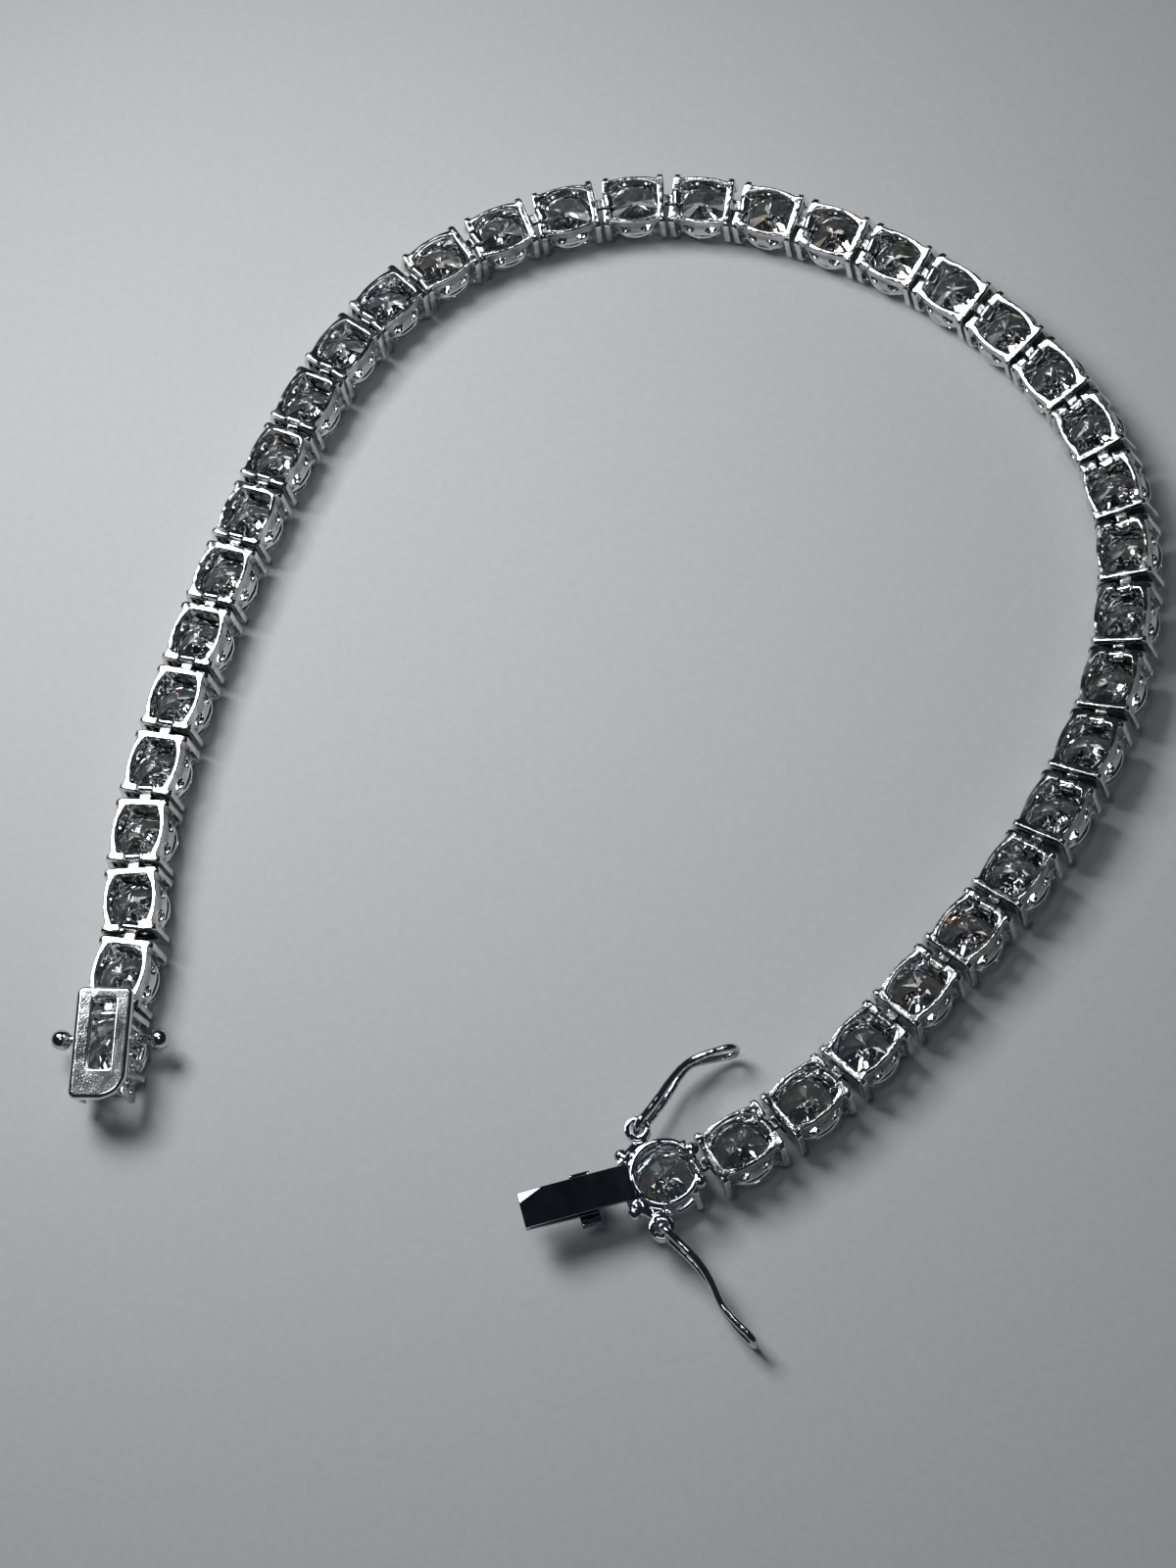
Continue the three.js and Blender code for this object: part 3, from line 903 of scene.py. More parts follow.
@dataclass
class ClaspBox:
    """Box clasp: slotted back plate, pierced walls, basket and two ball knobs (millimetres)."""

    plate_back: float = -3.7
    plate_front: float = 3.2
    plate_half: float = 1.7
    plate_bottom: float = 3.44
    plate_top: float = 3.94
    plate_round: float = 0.28
    corner: float = 0.45
    round_corner: float = 0.7
    sweep_along: float = 2.6
    sweep_in: float = 0.95
    slot: Span = (-1.9, 2.5)
    slot_half: float = 0.7
    slot_corner: float = 0.14
    slot_round: float = 0.13
    through: float = 1.0
    wall: float = 0.3
    wall_in: float = 0.22
    wall_back: float = 0.35
    wall_front: float = 1.1
    sole_half: float = 0.16
    sole_drop: float = 0.22
    overlap: float = 0.1
    ribs: tuple[Rib, ...] = (
        Rib(-3.15, -3.1, 0.5, 1.56, 1.3),
        Rib(-2.05, -1.95, 0.3, 1.6),
        Rib(-1.05, -0.85, 0.24, 1.72),
        Rib(0.2, 0.3, 0.26, 1.9),
        Rib(0.95, 0.8, 0.26, 1.82),
        Rib(1.5, 1.95, 0.26, 1.2),
    )
    skirt_front: float = -1.0
    skirt_out: Span = (1.3, 1.62)
    skirt_heights: Span = (1.25, 1.6)
    lip: Span = (-3.3, -2.6)
    lip_half: float = 1.5
    lip_heights: Span = (2.28, 2.54)
    end: Span = (1.7, 1.95)
    end_half: float = 1.52
    end_heights: Span = (2.2, 2.75)
    post_foot: float = 1.7
    post_head: Point = (1.82, 1.42, 2.95)
    knob_x: float = 0.6
    knob_height: float = 1.95
    knob_reach: float = 3.0
    knob_radius: float = 0.65
    pin_root: float = 1.5
    pin_radius: float = 0.29
    boss_out: Span = (1.35, 1.9)
    boss_share: float = 1.6
    lean_angle: float = 4.5
    lean_rise: float = 0.1
    roll_angle: float = 4.0
    basket: Basket = field(default_factory=Basket)
    hook: Hook = field(default_factory=Hook)

    def lean(self) -> Matrix:
        """The slight lean of plate and walls, with the hook end up and the claws on the table."""
        pivot = Vector((0.0, 0.0, self.plate_bottom))
        turn = Matrix.Rotation(-math.radians(self.lean_angle), 4, "Y")
        rise = Vector((0.0, 0.0, self.lean_rise))
        return Matrix.Translation(pivot + rise) @ turn @ Matrix.Translation(-pivot)

    def roll(self) -> Matrix:
        """The slight roll of the plate on its walls, with the right edge down."""
        pivot = Vector((0.0, 0.0, self.plate_bottom))
        turn = Matrix.Rotation(math.radians(self.roll_angle), 4, "X")
        return Matrix.Translation(pivot) @ turn @ Matrix.Translation(-pivot)

    @staticmethod
    def upright(a: Vector, b: Vector) -> bool:
        """Whether an edge between two points stands upright."""
        return abs(a.x - b.x) < NEAR and abs(a.y - b.y) < NEAR

    def on_top(self, a: Vector, b: Vector) -> bool:
        """Whether an edge between two points lies in the plate's upper face."""
        return min(a.z, b.z) > self.plate_top - NEAR

    def swept_corner(self, a: Vector, b: Vector) -> bool:
        """Whether an edge between two points is one of the cut corner's two ends."""
        at_end = a.x < self.plate_back + NEAR and a.y < 0.0
        at_side = a.y < -self.plate_half + NEAR and a.x < 0.0
        return self.upright(a, b) and (at_end or at_side)

    def square_corner(self, a: Vector, b: Vector) -> bool:
        """Whether an edge between two points is one of the plate's three square corners."""
        at_edge = abs(abs(a.y) - self.plate_half) < NEAR
        at_front = abs(a.x - self.plate_front) < NEAR
        far_back = a.x < self.plate_back + NEAR and a.y > 0.0
        return self.upright(a, b) and at_edge and (at_front or far_back)

    def slot_rim(self, a: Vector, b: Vector) -> bool:
        """Whether an edge between two points is part of the slot's upper rim."""
        back, front = self.slot
        inside = all(
            back - NEAR < end.x < front + NEAR and abs(end.y) < self.slot_half + NEAR
            for end in (a, b)
        )
        return inside and self.on_top(a, b)

    def plate(self, name: str) -> bpy.types.Object:
        """Back plate with rounded edges, one swept corner and a bevelled slot.

        Args:
            name: Name of the plate.

        Returns:
            The plate.
        """
        along, heights = (self.plate_back, self.plate_front), (self.plate_bottom, self.plate_top)
        piece = Bench.bar(along, self.plate_half, heights)
        piece.name = name
        foot = Vector((self.plate_back, -self.plate_half + self.sweep_in, self.plate_bottom))
        head = Vector((self.plate_back + self.sweep_along, -self.plate_half, self.plate_bottom))
        bpy.ops.object.mode_set(mode="EDIT")
        bpy.ops.mesh.select_all(action="SELECT")
        bpy.ops.mesh.bisect(
            plane_co=foot, plane_no=(foot - head).cross(UP), use_fill=True, clear_inner=True
        )
        bpy.ops.object.mode_set(mode="OBJECT")
        Bench.bevel_edges(piece, self.round_corner, 8, self.swept_corner)
        Bench.bevel_edges(piece, self.corner, 5, self.square_corner)
        Bench.bevel_edges(piece, self.plate_round, 5, self.on_top)
        heights = (self.plate_bottom - self.through, self.plate_top + self.through)
        cutter = Bench.bar(self.slot, self.slot_half, heights)
        cutter = Bench.bevel_edges(cutter, self.slot_corner, 3, self.upright)
        piece = Bench.cut(piece, cutter)
        Bench.bevel_edges(piece, self.slot_round, 2, self.slot_rim)
        return Bench.crisp(piece, 60)

    def side_wall(self, side: int) -> list[bpy.types.Object]:
        """Ribs of one side wall, which splay out from the plate to the seat rail.

        Args:
            side: 1 for the left wall, -1 for the right one.

        Returns:
            The parts.
        """
        head_y = self.plate_half - self.wall_in
        top = self.plate_bottom + self.overlap
        back = self.plate_back + self.wall_back
        parts = []
        for rib in self.ribs:
            size = (rib.width, self.wall)
            foot = (rib.foot, side * rib.out, rib.bottom)
            parts.append(Bench.post(foot, (rib.head, side * head_y, top), size, size))
        along = (back, self.plate_front - self.wall_front)
        out = (head_y - self.sole_half, head_y + self.sole_half)
        parts.append(Bench.wing(side, along, out, (self.plate_bottom - self.sole_drop, top)))
        skirt = (back, self.skirt_front)
        parts.append(Bench.wing(side, skirt, self.skirt_out, self.skirt_heights))
        near, far = ((self.knob_x, side * out, self.knob_height) for out in self.boss_out)
        parts.append(Bench.rod(near, far, self.pin_radius * self.boss_share))
        return parts

    def body(self, name: str) -> bpy.types.Object:
        """The pierced body under the plate.

        Args:
            name: Name of the body.

        Returns:
            The casting.
        """
        parts = [
            Bench.bar(self.lip, self.lip_half, self.lip_heights),
            Bench.bar(self.end, self.end_half, self.end_heights),
            *self.side_wall(1),
            *self.side_wall(-1),
            self.basket.rail(),
            *self.basket.prongs(self.post_foot, self.post_head),
            *self.hook.parts(),
        ]
        return Bench.cast(parts, name, grain=0.055, melt=3, keep=0.3)

    def knobs(self, name: str) -> bpy.types.Object:
        """Two ball knobs on their pins.

        Args:
            name: Name of the knobs.

        Returns:
            The knobs.
        """
        parts = []
        for side in SIDES:
            start = (self.knob_x, side * self.pin_root, self.knob_height)
            end = (self.knob_x, side * self.knob_reach, self.knob_height)
            parts += [Bench.rod(start, end, self.pin_radius), Bench.ball(end, self.knob_radius)]
        return Bench.cast(parts, name, grain=0.06, melt=3, keep=0.5)


@dataclass
class TongueStation:
    """Round collar with its basket, folded tongue and latch tubes (millimetres)."""

    collar: Span = (2.0, 1.73)
    collar_heights: Span = (2.15, 3.05)
    gap_along: Span = (-3.0, -1.0)
    gap_half: float = 0.58
    gap_heights: Span = (1.0, 4.0)
    post_foot: float = 1.5
    post_head: Point = (1.4, 1.4, 2.8)
    strut_out: float = 1.78
    strut_top: float = 2.45
    strut: Span = (0.34, 0.22)
    keeper: Span = (-1.98, -1.7)
    keeper_half: float = 1.0
    keeper_heights: Span = (2.1, 2.4)
    ear: Point = (-1.85, 1.0, 2.7)
    ear_radius: float = 0.4
    ear_stretch: Point = (1.0, 1.0, 1.1)
    front: Span = (1.7, 2.5)
    front_half: float = 1.4
    front_heights: Span = (1.98, 2.72)
    rod_x: float = 2.05
    rod_half: float = 1.62
    rod_height: float = 2.3
    rod_radius: float = 0.38
    boss: Point = (2.2, 1.75, 2.35)
    boss_radius: float = 0.42
    pivot: Span = (0.9, 3.0)
    pivot_heights: Span = (1.9, 2.7)
    tube: Span = (0.76, 0.4)
    bracket_half: float = 0.4
    bracket_out: Span = (1.7, 2.45)
    bracket_inset: float = 0.05
    arm_root: Point = (0.9, 2.4, 2.3)
    arm_end: Point = (2.1, 1.4, 2.55)
    arm_radius: float = 0.3
    tongue_root: float = 1.85
    tongue_tip: float = 8.45
    tongue_half: float = 1.07
    tongue_top: float = 2.86
    tongue_rise: float = 3.5
    tongue_turn: float = 1.8
    tongue_round: float = 0.07
    worn_along: float = 1.5
    worn_across: float = 0.42
    worn_depth: float = 0.1
    leaf: float = 0.28
    gap: float = 0.14
    spring: float = 0.3
    button_x: float = 4.1
    button_length: float = 1.2
    button_half: float = 1.55
    button_height: float = 0.55
    button_in: float = 0.1
    ridges: int = 5
    ridge_radius: float = 0.1
    ridge_reach: float = 0.03
    ridge_in: float = 0.02
    basket: Basket = field(default_factory=Basket)

    @staticmethod
    def ring(centre: Span, radii: Span, heights: Span) -> bpy.types.Object:
        """An upright ring.

        Args:
            centre: Place of its axis along and across the station.
            radii: Outer and inner radius.
            heights: Height of its lower and upper face.

        Returns:
            The ring.
        """
        (outer, bore), (low, high), through = radii, heights, 1.0
        body = Bench.rod((*centre, low), (*centre, high), outer, RING_SIDES)
        hole = Bench.rod((*centre, low - through), (*centre, high + through), bore, HOLE_SIDES)
        return Bench.cut(body, hole)

    @staticmethod
    def on_side(side: int, place: Point) -> Point:
        """A place on the left, or its mirror image on the right where the side is -1."""
        return (place[0], side * place[1], place[2])

    def latch_mount(self, side: int) -> list[bpy.types.Object]:
        """Ear, boss, hinge tube, bracket and arm on one side.

        Args:
            side: 1 for the left side, -1 for the right one.

        Returns:
            The parts.
        """
        x, y = self.pivot
        low, high = self.pivot_heights
        along = (x - self.bracket_half, x + self.bracket_half)
        heights = (low + self.bracket_inset, high - self.bracket_inset)
        arm_root, arm_end = self.on_side(side, self.arm_root), self.on_side(side, self.arm_end)
        return [
            Bench.ball(self.on_side(side, self.ear), self.ear_radius, self.ear_stretch),
            Bench.ball(self.on_side(side, self.boss), self.boss_radius),
            self.ring((x, side * y), self.tube, self.pivot_heights),
            Bench.wing(side, along, self.bracket_out, heights),
            Bench.rod(arm_root, arm_end, self.arm_radius),
        ]

    def struts(self) -> list[bpy.types.Object]:
        """One strut on each side, from the seat rail to the collar."""
        foot = (0.0, self.basket.rail_radius, self.basket.rail_height)
        head = (0.0, self.strut_out, self.strut_top)
        return [
            Bench.post(self.on_side(side, foot), self.on_side(side, head), self.strut, self.strut)
            for side in SIDES
        ]

    def body(self, name: str) -> bpy.types.Object:
        """Collar, basket, ears, front block, brackets and latch tubes in one casting.

        Args:
            name: Name of the casting.

        Returns:
            The casting.
        """
        collar = self.ring((0.0, 0.0), self.collar, self.collar_heights)
        collar = Bench.cut(collar, Bench.bar(self.gap_along, self.gap_half, self.gap_heights))
        parts = [
            collar,
            self.basket.rail(),
            *self.basket.prongs(self.post_foot, self.post_head),
            *self.struts(),
            Bench.bar(self.keeper, self.keeper_half, self.keeper_heights),
            Bench.bar(self.front, self.front_half, self.front_heights),
            Bench.axle(self.rod_x, self.rod_half, self.rod_height, self.rod_radius),
            *self.latch_mount(-1),
            *self.latch_mount(1),
        ]
        return Bench.cast(parts, name, grain=0.055, melt=3, keep=0.32)

    def bend_corner(self, leaf: bpy.types.Object) -> None:
        """Presses the right corner of the tongue's tip down a little.

        Args:
            leaf: The upper leaf.
        """
        side = Vector((self.tongue_tip - self.worn_along, -self.tongue_half, self.tongue_top))
        end = Vector((self.tongue_tip, -self.tongue_half + self.worn_across, self.tongue_top))
        Bench.pick(leaf)
        bpy.ops.object.mode_set(mode="EDIT")
        bpy.ops.mesh.select_all(action="SELECT")
        bpy.ops.mesh.bisect(plane_co=side, plane_no=(end - side).cross(UP))
        bpy.ops.mesh.select_all(action="DESELECT")
        bpy.ops.mesh.select_mode(type="VERT")
        shape = bmesh.from_edit_mesh(leaf.data)
        for corner in shape.verts:
            at_tip = corner.co.x > self.tongue_tip - NEAR
            corner.select = at_tip and corner.co.y < -self.tongue_half + NEAR
        shape.select_flush_mode()
        bmesh.update_edit_mesh(leaf.data)
        bpy.ops.transform.translate(value=(0.0, 0.0, -self.worn_depth))
        bpy.ops.object.mode_set(mode="OBJECT")

    def lean(self) -> Matrix:
        """The slight lean of the tongue, with its tip up and a little to the left."""
        pivot = Vector((self.tongue_root, 0.0, self.tongue_top))
        rise = Matrix.Rotation(-math.radians(self.tongue_rise), 4, "Y")
        turn = Matrix.Rotation(math.radians(self.tongue_turn), 4, "Z")
        return Matrix.Translation(pivot) @ turn @ rise @ Matrix.Translation(-pivot)

    def tongue(self, name: str) -> bpy.types.Object:
        """The folded spring strip: upper leaf, fold at the tip and lower leaf.

        Args:
            name: Name of the tongue.

        Returns:
            The tongue.
        """
        half, tip, top = self.tongue_half, self.tongue_tip, self.tongue_top
        low_top = top - self.leaf - self.gap
        free = self.button_x - self.button_in
        upper = Bench.bar((self.tongue_root, tip), half, (top - self.leaf, top))
        fold = Bench.bar((tip - self.leaf, tip), half, (low_top - self.leaf, top - self.leaf / 2))
        lower = Bench.bar((free, tip), half, (low_top - self.leaf, low_top))
        bpy.ops.object.mode_set(mode="EDIT")
        Bench.select_faces(lower, lambda middle, normal: normal.x < -UPRIGHT)
        bpy.ops.transform.translate(value=(0.0, 0.0, -self.spring))
        bpy.ops.object.mode_set(mode="OBJECT")
        self.bend_corner(upper)
        shortest = 0.2
        for part in (upper, fold, lower):
            Bench.bevel_edges(part, self.tongue_round, 3, lambda a, b: (a - b).length > shortest)
        return Bench.crisp(Bench.join([upper, fold, lower], name), 80)

    def button(self, name: str) -> bpy.types.Object:
        """The ridged thumb button on the free end of the lower leaf.

        Args:
            name: Name of the button.

        Returns:
            The button.
        """
        top = self.tongue_top - 2 * self.leaf - self.gap - self.spring + self.button_in
        bottom = top - self.button_height
        along = (self.button_x, self.button_x + self.button_length)
        parts = [Bench.bar(along, self.button_half, (bottom, top))]
        for index in range(self.ridges):
            x = self.button_x + self.button_length * (index + 0.5) / self.ridges
            half, height = self.button_half + self.ridge_reach, bottom + self.ridge_in
            parts.append(Bench.axle(x, half, height, self.ridge_radius, 12))
        return Bench.cast(parts, name, grain=0.05, melt=2, keep=0.4)


@dataclass(frozen=True)
class Bend:
    """One bend of a latch: shares of its length along and outward, and of its open height."""

    along: float
    out: float
    open: float


@dataclass
class SafetyLatch:
    """A wire loop bent to a figure eight, which turns about its upright root (millimetres)."""

    outline: tuple[Bend, ...]
    side: int
    length: float = 8.2
    loop_height: float = 1.2
    wire: float = 0.46
    droop: float = 1.1
    height: float = 2.3

    @classmethod
    def left(cls) -> "SafetyLatch":
        """The left latch, which is nearly straight."""
        outline = (
            Bend(0.11, 0.01, 1.0),
            Bend(0.26, 0.03, 1.0),
            Bend(0.42, 0.036, 0.9),
            Bend(0.55, 0.015, 0.6),
            Bend(0.66, -0.01, 0.42),
            Bend(0.77, -0.014, 0.55),
            Bend(0.88, -0.005, 0.78),
            Bend(0.96, 0.003, 0.82),
            Bend(0.985, 0.005, 0.6),
        )
        return cls(outline, 1)

    @classmethod
    def right(cls) -> "SafetyLatch":
        """The right latch, whose tip turns outward."""
        outline = (
            Bend(0.11, 0.0, 1.0),
            Bend(0.26, 0.005, 1.0),
            Bend(0.42, 0.0, 0.9),
            Bend(0.54, 0.0, 0.62),
            Bend(0.64, 0.02, 0.42),
            Bend(0.73, 0.08, 0.62),
            Bend(0.82, 0.155, 0.82),
            Bend(0.88, 0.21, 0.84),
            Bend(0.9, 0.23, 0.6),
        )
        return cls(outline, -1)

    @property
    def tip_angle(self) -> float:
        """Angle from the latch's own line to its tip."""
        tip = self.outline[-1]
        return math.atan2(self.side * tip.out, tip.along)

    def strand(self, level: int) -> list[Point]:
        """Points of one strand of the wire, from the root to the tip.

        Args:
            level: 1 for the upper strand, -1 for the lower one.

        Returns:
            The points.
        """
        half = (self.loop_height + self.wire) / 2
        return [
            (
                bend.along * self.length,
                self.side * bend.out * self.length,
                self.height + level * bend.open * half - bend.along * self.droop,
            )
            for bend in self.outline
        ]

    def build(self, name: str) -> bpy.types.Object:
        """Bends the wire and melts its crossing strands together.

        Args:
            name: Name of the latch.

        Returns:
            The latch.
        """
        half = (self.loop_height + self.wire) / 2
        root = [
            (self.wire, 0.0, self.height - half),
            (0.0, 0.0, self.height - half + self.wire),
            (0.0, 0.0, self.height + half - self.wire),
            (self.wire, 0.0, self.height + half),
        ]
        points = [*root, *self.strand(1), *reversed(self.strand(-1))]
        curve = bpy.data.curves.new(name, "CURVE")
        curve.dimensions = "3D"
        curve.bevel_depth = self.wire / 2
        curve.bevel_resolution = 4
        curve.resolution_u = 8
        spline = curve.splines.new("BEZIER")
        spline.bezier_points.add(len(points) - 1)
        spline.use_cyclic_u = True
        for knot, point in zip(spline.bezier_points, points):
            knot.co = point
            knot.handle_left_type = knot.handle_right_type = "AUTO"
        piece = bpy.data.objects.new(name, curve)
        bpy.context.scene.collection.objects.link(piece)
        Bench.pick(piece)
        bpy.ops.object.convert(target="MESH")
        return Bench.cast([bpy.context.object], name, grain=0.06, melt=3, keep=0.5)


class Shades:
    """Helpers for node trees, and the shared effect that every metal finish uses."""

    @staticmethod
    def start(name: str) -> tuple[bpy.types.Material, bpy.types.NodeTree, bpy.types.Node]:
        """Makes a material.

        Args:
            name: Its name.

        Returns:
            The material, its node tree and its shader.
        """
        material = bpy.data.materials.new(name)
        material.use_nodes = True
        tree = material.node_tree
        return material, tree, tree.nodes["Principled BSDF"]

    @staticmethod
    def noise(tree: bpy.types.NodeTree, scale: float, detail: float) -> bpy.types.NodeSocket:
        """Adds a noise that stays fixed to the piece.

        Args:
            tree: The node tree.
            scale: Number of its waves in a metre.
            detail: Number of finer layers.

        Returns:
            Its value.
        """
        place = tree.nodes.new("ShaderNodeTexCoord")
        node = tree.nodes.new("ShaderNodeTexNoise")
        node.inputs["Scale"].default_value = scale
        node.inputs["Detail"].default_value = detail
        tree.links.new(place.outputs["Object"], node.inputs["Vector"])
        return node.outputs["Fac"]

    @staticmethod
    def ramp(
        tree: bpy.types.NodeTree, value: bpy.types.NodeSocket, *stops: tuple[float, Color]
    ) -> bpy.types.NodeSocket:
        """Turns a value into a colour between two stops.

        Args:
            tree: The node tree.
            value: The value.
            *stops: Two values, each with its colour.

        Returns:
            The colour.
        """
        node = tree.nodes.new("ShaderNodeValToRGB")
        for element, (position, color) in zip(node.color_ramp.elements, stops):
            element.position = position
            element.color = (*color, 1.0)
        tree.links.new(value, node.inputs["Fac"])
        return node.outputs["Color"]

    @staticmethod
    def bump(
        tree: bpy.types.NodeTree, height: bpy.types.NodeSocket, depth: float
    ) -> bpy.types.Node:
        """Adds a bump, whose strength is given afterwards.

        Args:
            tree: The node tree.
            height: Its height.
            depth: Its greatest depth in millimetres.

        Returns:
            The bump.
        """
        node = tree.nodes.new("ShaderNodeBump")
        node.inputs["Distance"].default_value = depth * MM
        tree.links.new(height, node.inputs["Height"])
        return node

    @staticmethod
    def cast_skin() -> bpy.types.NodeTree:
        """Uneven polish of a small casting: soft waves, fine pits and worn patches.

        Returns:
            The group, which gives a roughness, a tone and a normal.
        """
        group = bpy.data.node_groups.new("cast skin", "ShaderNodeTree")
        real, vector = "NodeSocketFloat", "NodeSocketVector"
        for name in ("Low roughness", "High roughness", "Wave", "Pits"):
            group.interface.new_socket(name, in_out="INPUT", socket_type=real)
        for name, kind in (("Roughness", real), ("Tone", real), ("Normal", vector)):
            group.interface.new_socket(name, in_out="OUTPUT", socket_type=kind)
        nodes, links = group.nodes, group.links
        inputs, outputs = nodes.new("NodeGroupInput"), nodes.new("NodeGroupOutput")
        patches = Shades.noise(group, 900.0, 3.0)
        spread = nodes.new("ShaderNodeMapRange")
        spread.inputs["From Min"].default_value = 0.35
        spread.inputs["From Max"].default_value = 0.7
        links.new(patches, spread.inputs["Value"])
        links.new(inputs.outputs["Low roughness"], spread.inputs["To Min"])
        links.new(inputs.outputs["High roughness"], spread.inputs["To Max"])
        links.new(spread.outputs["Result"], outputs.inputs["Roughness"])
        links.new(patches, outputs.inputs["Tone"])
        waves = Shades.bump(group, Shades.noise(group, 1400.0, 1.0), 0.1)
        links.new(inputs.outputs["Wave"], waves.inputs["Strength"])
        pits = Shades.bump(group, Shades.noise(group, 9000.0, 2.0), 0.02)
        links.new(inputs.outputs["Pits"], pits.inputs["Strength"])
        links.new(waves.outputs["Normal"], pits.inputs["Normal"])
        links.new(pits.outputs["Normal"], outputs.inputs["Normal"])
        return group


@dataclass(frozen=True)
class SilverFinish:
    """A white metal finish, from mirror polish to satin."""

    name: str
    light: Color
    dark: Color
    roughness: Span
    wave: float
    pits: float
    dark_until: float = 0.3
    light_from: float = 0.6
    # Share of the dark tone that is left where the shade is painted in full.
    painted_shade_share: float = 0.12

    def material(self, skin: bpy.types.NodeTree) -> bpy.types.Material:
        """Makes the material.

        Args:
            skin: The shared group of uneven polish.

        Returns:
            The material.
        """
        material, tree, shader = Shades.start(self.name)
        links = tree.links
        shader.inputs["Metallic"].default_value = 1.0
        group = tree.nodes.new("ShaderNodeGroup")
        group.node_tree = skin
        group.inputs["Low roughness"].default_value = self.roughness[0]
        group.inputs["High roughness"].default_value = self.roughness[1]
        group.inputs["Wave"].default_value = self.wave
        group.inputs["Pits"].default_value = self.pits
        stops = (self.dark_until, self.dark), (self.light_from, self.light)
        tone = Shades.ramp(tree, group.outputs["Tone"], *stops)
        # Painted shade: the mesh's shade mark mixes the base colour towards a near black copy of the dark tone.
        marks = tree.nodes.new("ShaderNodeAttribute")
        marks.attribute_name = PAINTED_SHADE
        painted_shade_mix = tree.nodes.new("ShaderNodeMixRGB")
        links.new(marks.outputs["Fac"], painted_shade_mix.inputs["Fac"])
        links.new(tone, painted_shade_mix.inputs["Color1"])
        black = (self.painted_shade_share * value for value in self.dark)
        painted_shade_mix.inputs["Color2"].default_value = (*black, 1.0)
        links.new(painted_shade_mix.outputs["Color"], shader.inputs["Base Color"])
        links.new(group.outputs["Roughness"], shader.inputs["Roughness"])
        links.new(group.outputs["Normal"], shader.inputs["Normal"])
        return material


class PaintedFlash(Enum):
    """Painted colours for single facets of a cut stone, standing in for the coloured light that it throws back."""

    BLUE = (0.35, 0.6, 1.0)
    CYAN = (0.45, 0.95, 1.0)
    VIOLET = (0.7, 0.55, 1.0)
    ORANGE = (1.0, 0.65, 0.35)
    LIME = (0.85, 1.0, 0.45)


@dataclass(frozen=True)
class StoneFinish:
    """Clear stone of high refraction, with small colour flashes painted onto single facets."""

    name: str
    refraction: float = 2.15
    # Name of the colour layer: random grey tints with painted colour flashes.
    layer: str = "tint_and_painted_fire"
    painted_flash_share: float = 0.06
    darkest: float = 0.8

    def tint(self, mesh: bpy.types.Mesh, seed: int) -> None:
        """Gives each facet its own random grey tint, and paints colour flashes onto small facets alone.

        Args:
            mesh: Mesh of one stone.
            seed: Seed of the random numbers.
        """
        chance = np.random.default_rng(seed)
        tints = mesh.color_attributes.new(self.layer, "FLOAT_COLOR", "CORNER")
        flashes = list(PaintedFlash)
        largest = max(facet.area for facet in mesh.polygons)
        for facet in mesh.polygons:
            grey = chance.uniform(self.darkest, 1.0)
            color = (grey, grey, grey)
            small = facet.area < largest / 2
            # Painted light: a small facet gets a colour that stands in for a dispersion flash.
            if small and chance.random() < self.painted_flash_share:
                color = flashes[chance.integers(len(flashes))].value
            for corner in facet.loop_indices:
                tints.data[corner].color = (*color, 1.0)

    def material(self) -> bpy.types.Material:
        """Makes the material."""
        material, tree, shader = Shades.start(self.name)
        shader.inputs["Metallic"].default_value = 0.0
        shader.inputs["Roughness"].default_value = 0.0
        shader.inputs["IOR"].default_value = self.refraction
        shader.inputs["Transmission Weight"].default_value = 1.0
        tint_and_painted_fire = tree.nodes.new("ShaderNodeAttribute")
        tint_and_painted_fire.attribute_name = self.layer
        tree.links.new(tint_and_painted_fire.outputs["Color"], shader.inputs["Base Color"])
        return material


@dataclass(frozen=True)
class PaperFinish:
    """Pale matt paper."""

    name: str
    color: Color = (0.53, 0.545, 0.55)
    darker: float = 0.97
    lighter: float = 1.02

    def material(self) -> bpy.types.Material:
        """Makes the material."""
        material, tree, shader = Shades.start(self.name)
        shader.inputs["Roughness"].default_value = 0.85
        shader.inputs["Specular IOR Level"].default_value = 0.3
        fibres = Shades.noise(tree, 1800.0, 6.0)
        low, high = (
            tuple(share * value for value in self.color) for share in (self.darker, self.lighter)
        )
        tone = Shades.ramp(tree, fibres, (0.3, low), (0.7, high))
        tree.links.new(tone, shader.inputs["Base Color"])
        bump = Shades.bump(tree, fibres, 0.05)
        bump.inputs["Strength"].default_value = 0.2
        tree.links.new(bump.outputs["Normal"], shader.inputs["Normal"])
        return material


@dataclass(frozen=True)
class SoftBox:
    """A soft box that looks at the bracelet (degrees, millimetres and watts).

    The azimuth counts from the far side and is positive to the right, and rise is the angle
    above the table.
    """

    name: str
    azimuth: float
    rise: float
    distance: float
    size: Span
    power: float
    spread: float = 180.0
    target: Point = (0.0, 0.0, 0.0)
    shape: LampShape = LampShape.SQUARE

    def hang(self) -> None:
        """Hangs the soft box in its place."""
        turn, lift = math.radians(self.azimuth), math.radians(self.rise)
        level = math.cos(lift)
        back = Vector((math.sin(turn) * level, math.cos(turn) * level, math.sin(lift)))
        data = bpy.data.lights.new(self.name, "AREA")
        data.shape = self.shape.value
        data.size, data.size_y = self.size[0] * MM, self.size[1] * MM
        data.energy = self.power
        data.spread = math.radians(self.spread)
        lamp = bpy.data.objects.new(self.name, data)
        bpy.context.scene.collection.objects.link(lamp)
        lamp.location = (Vector(self.target) + back * self.distance) * MM
        lamp.rotation_mode = "QUATERNION"
        lamp.rotation_quaternion = back.to_track_quat("Z", "Y")


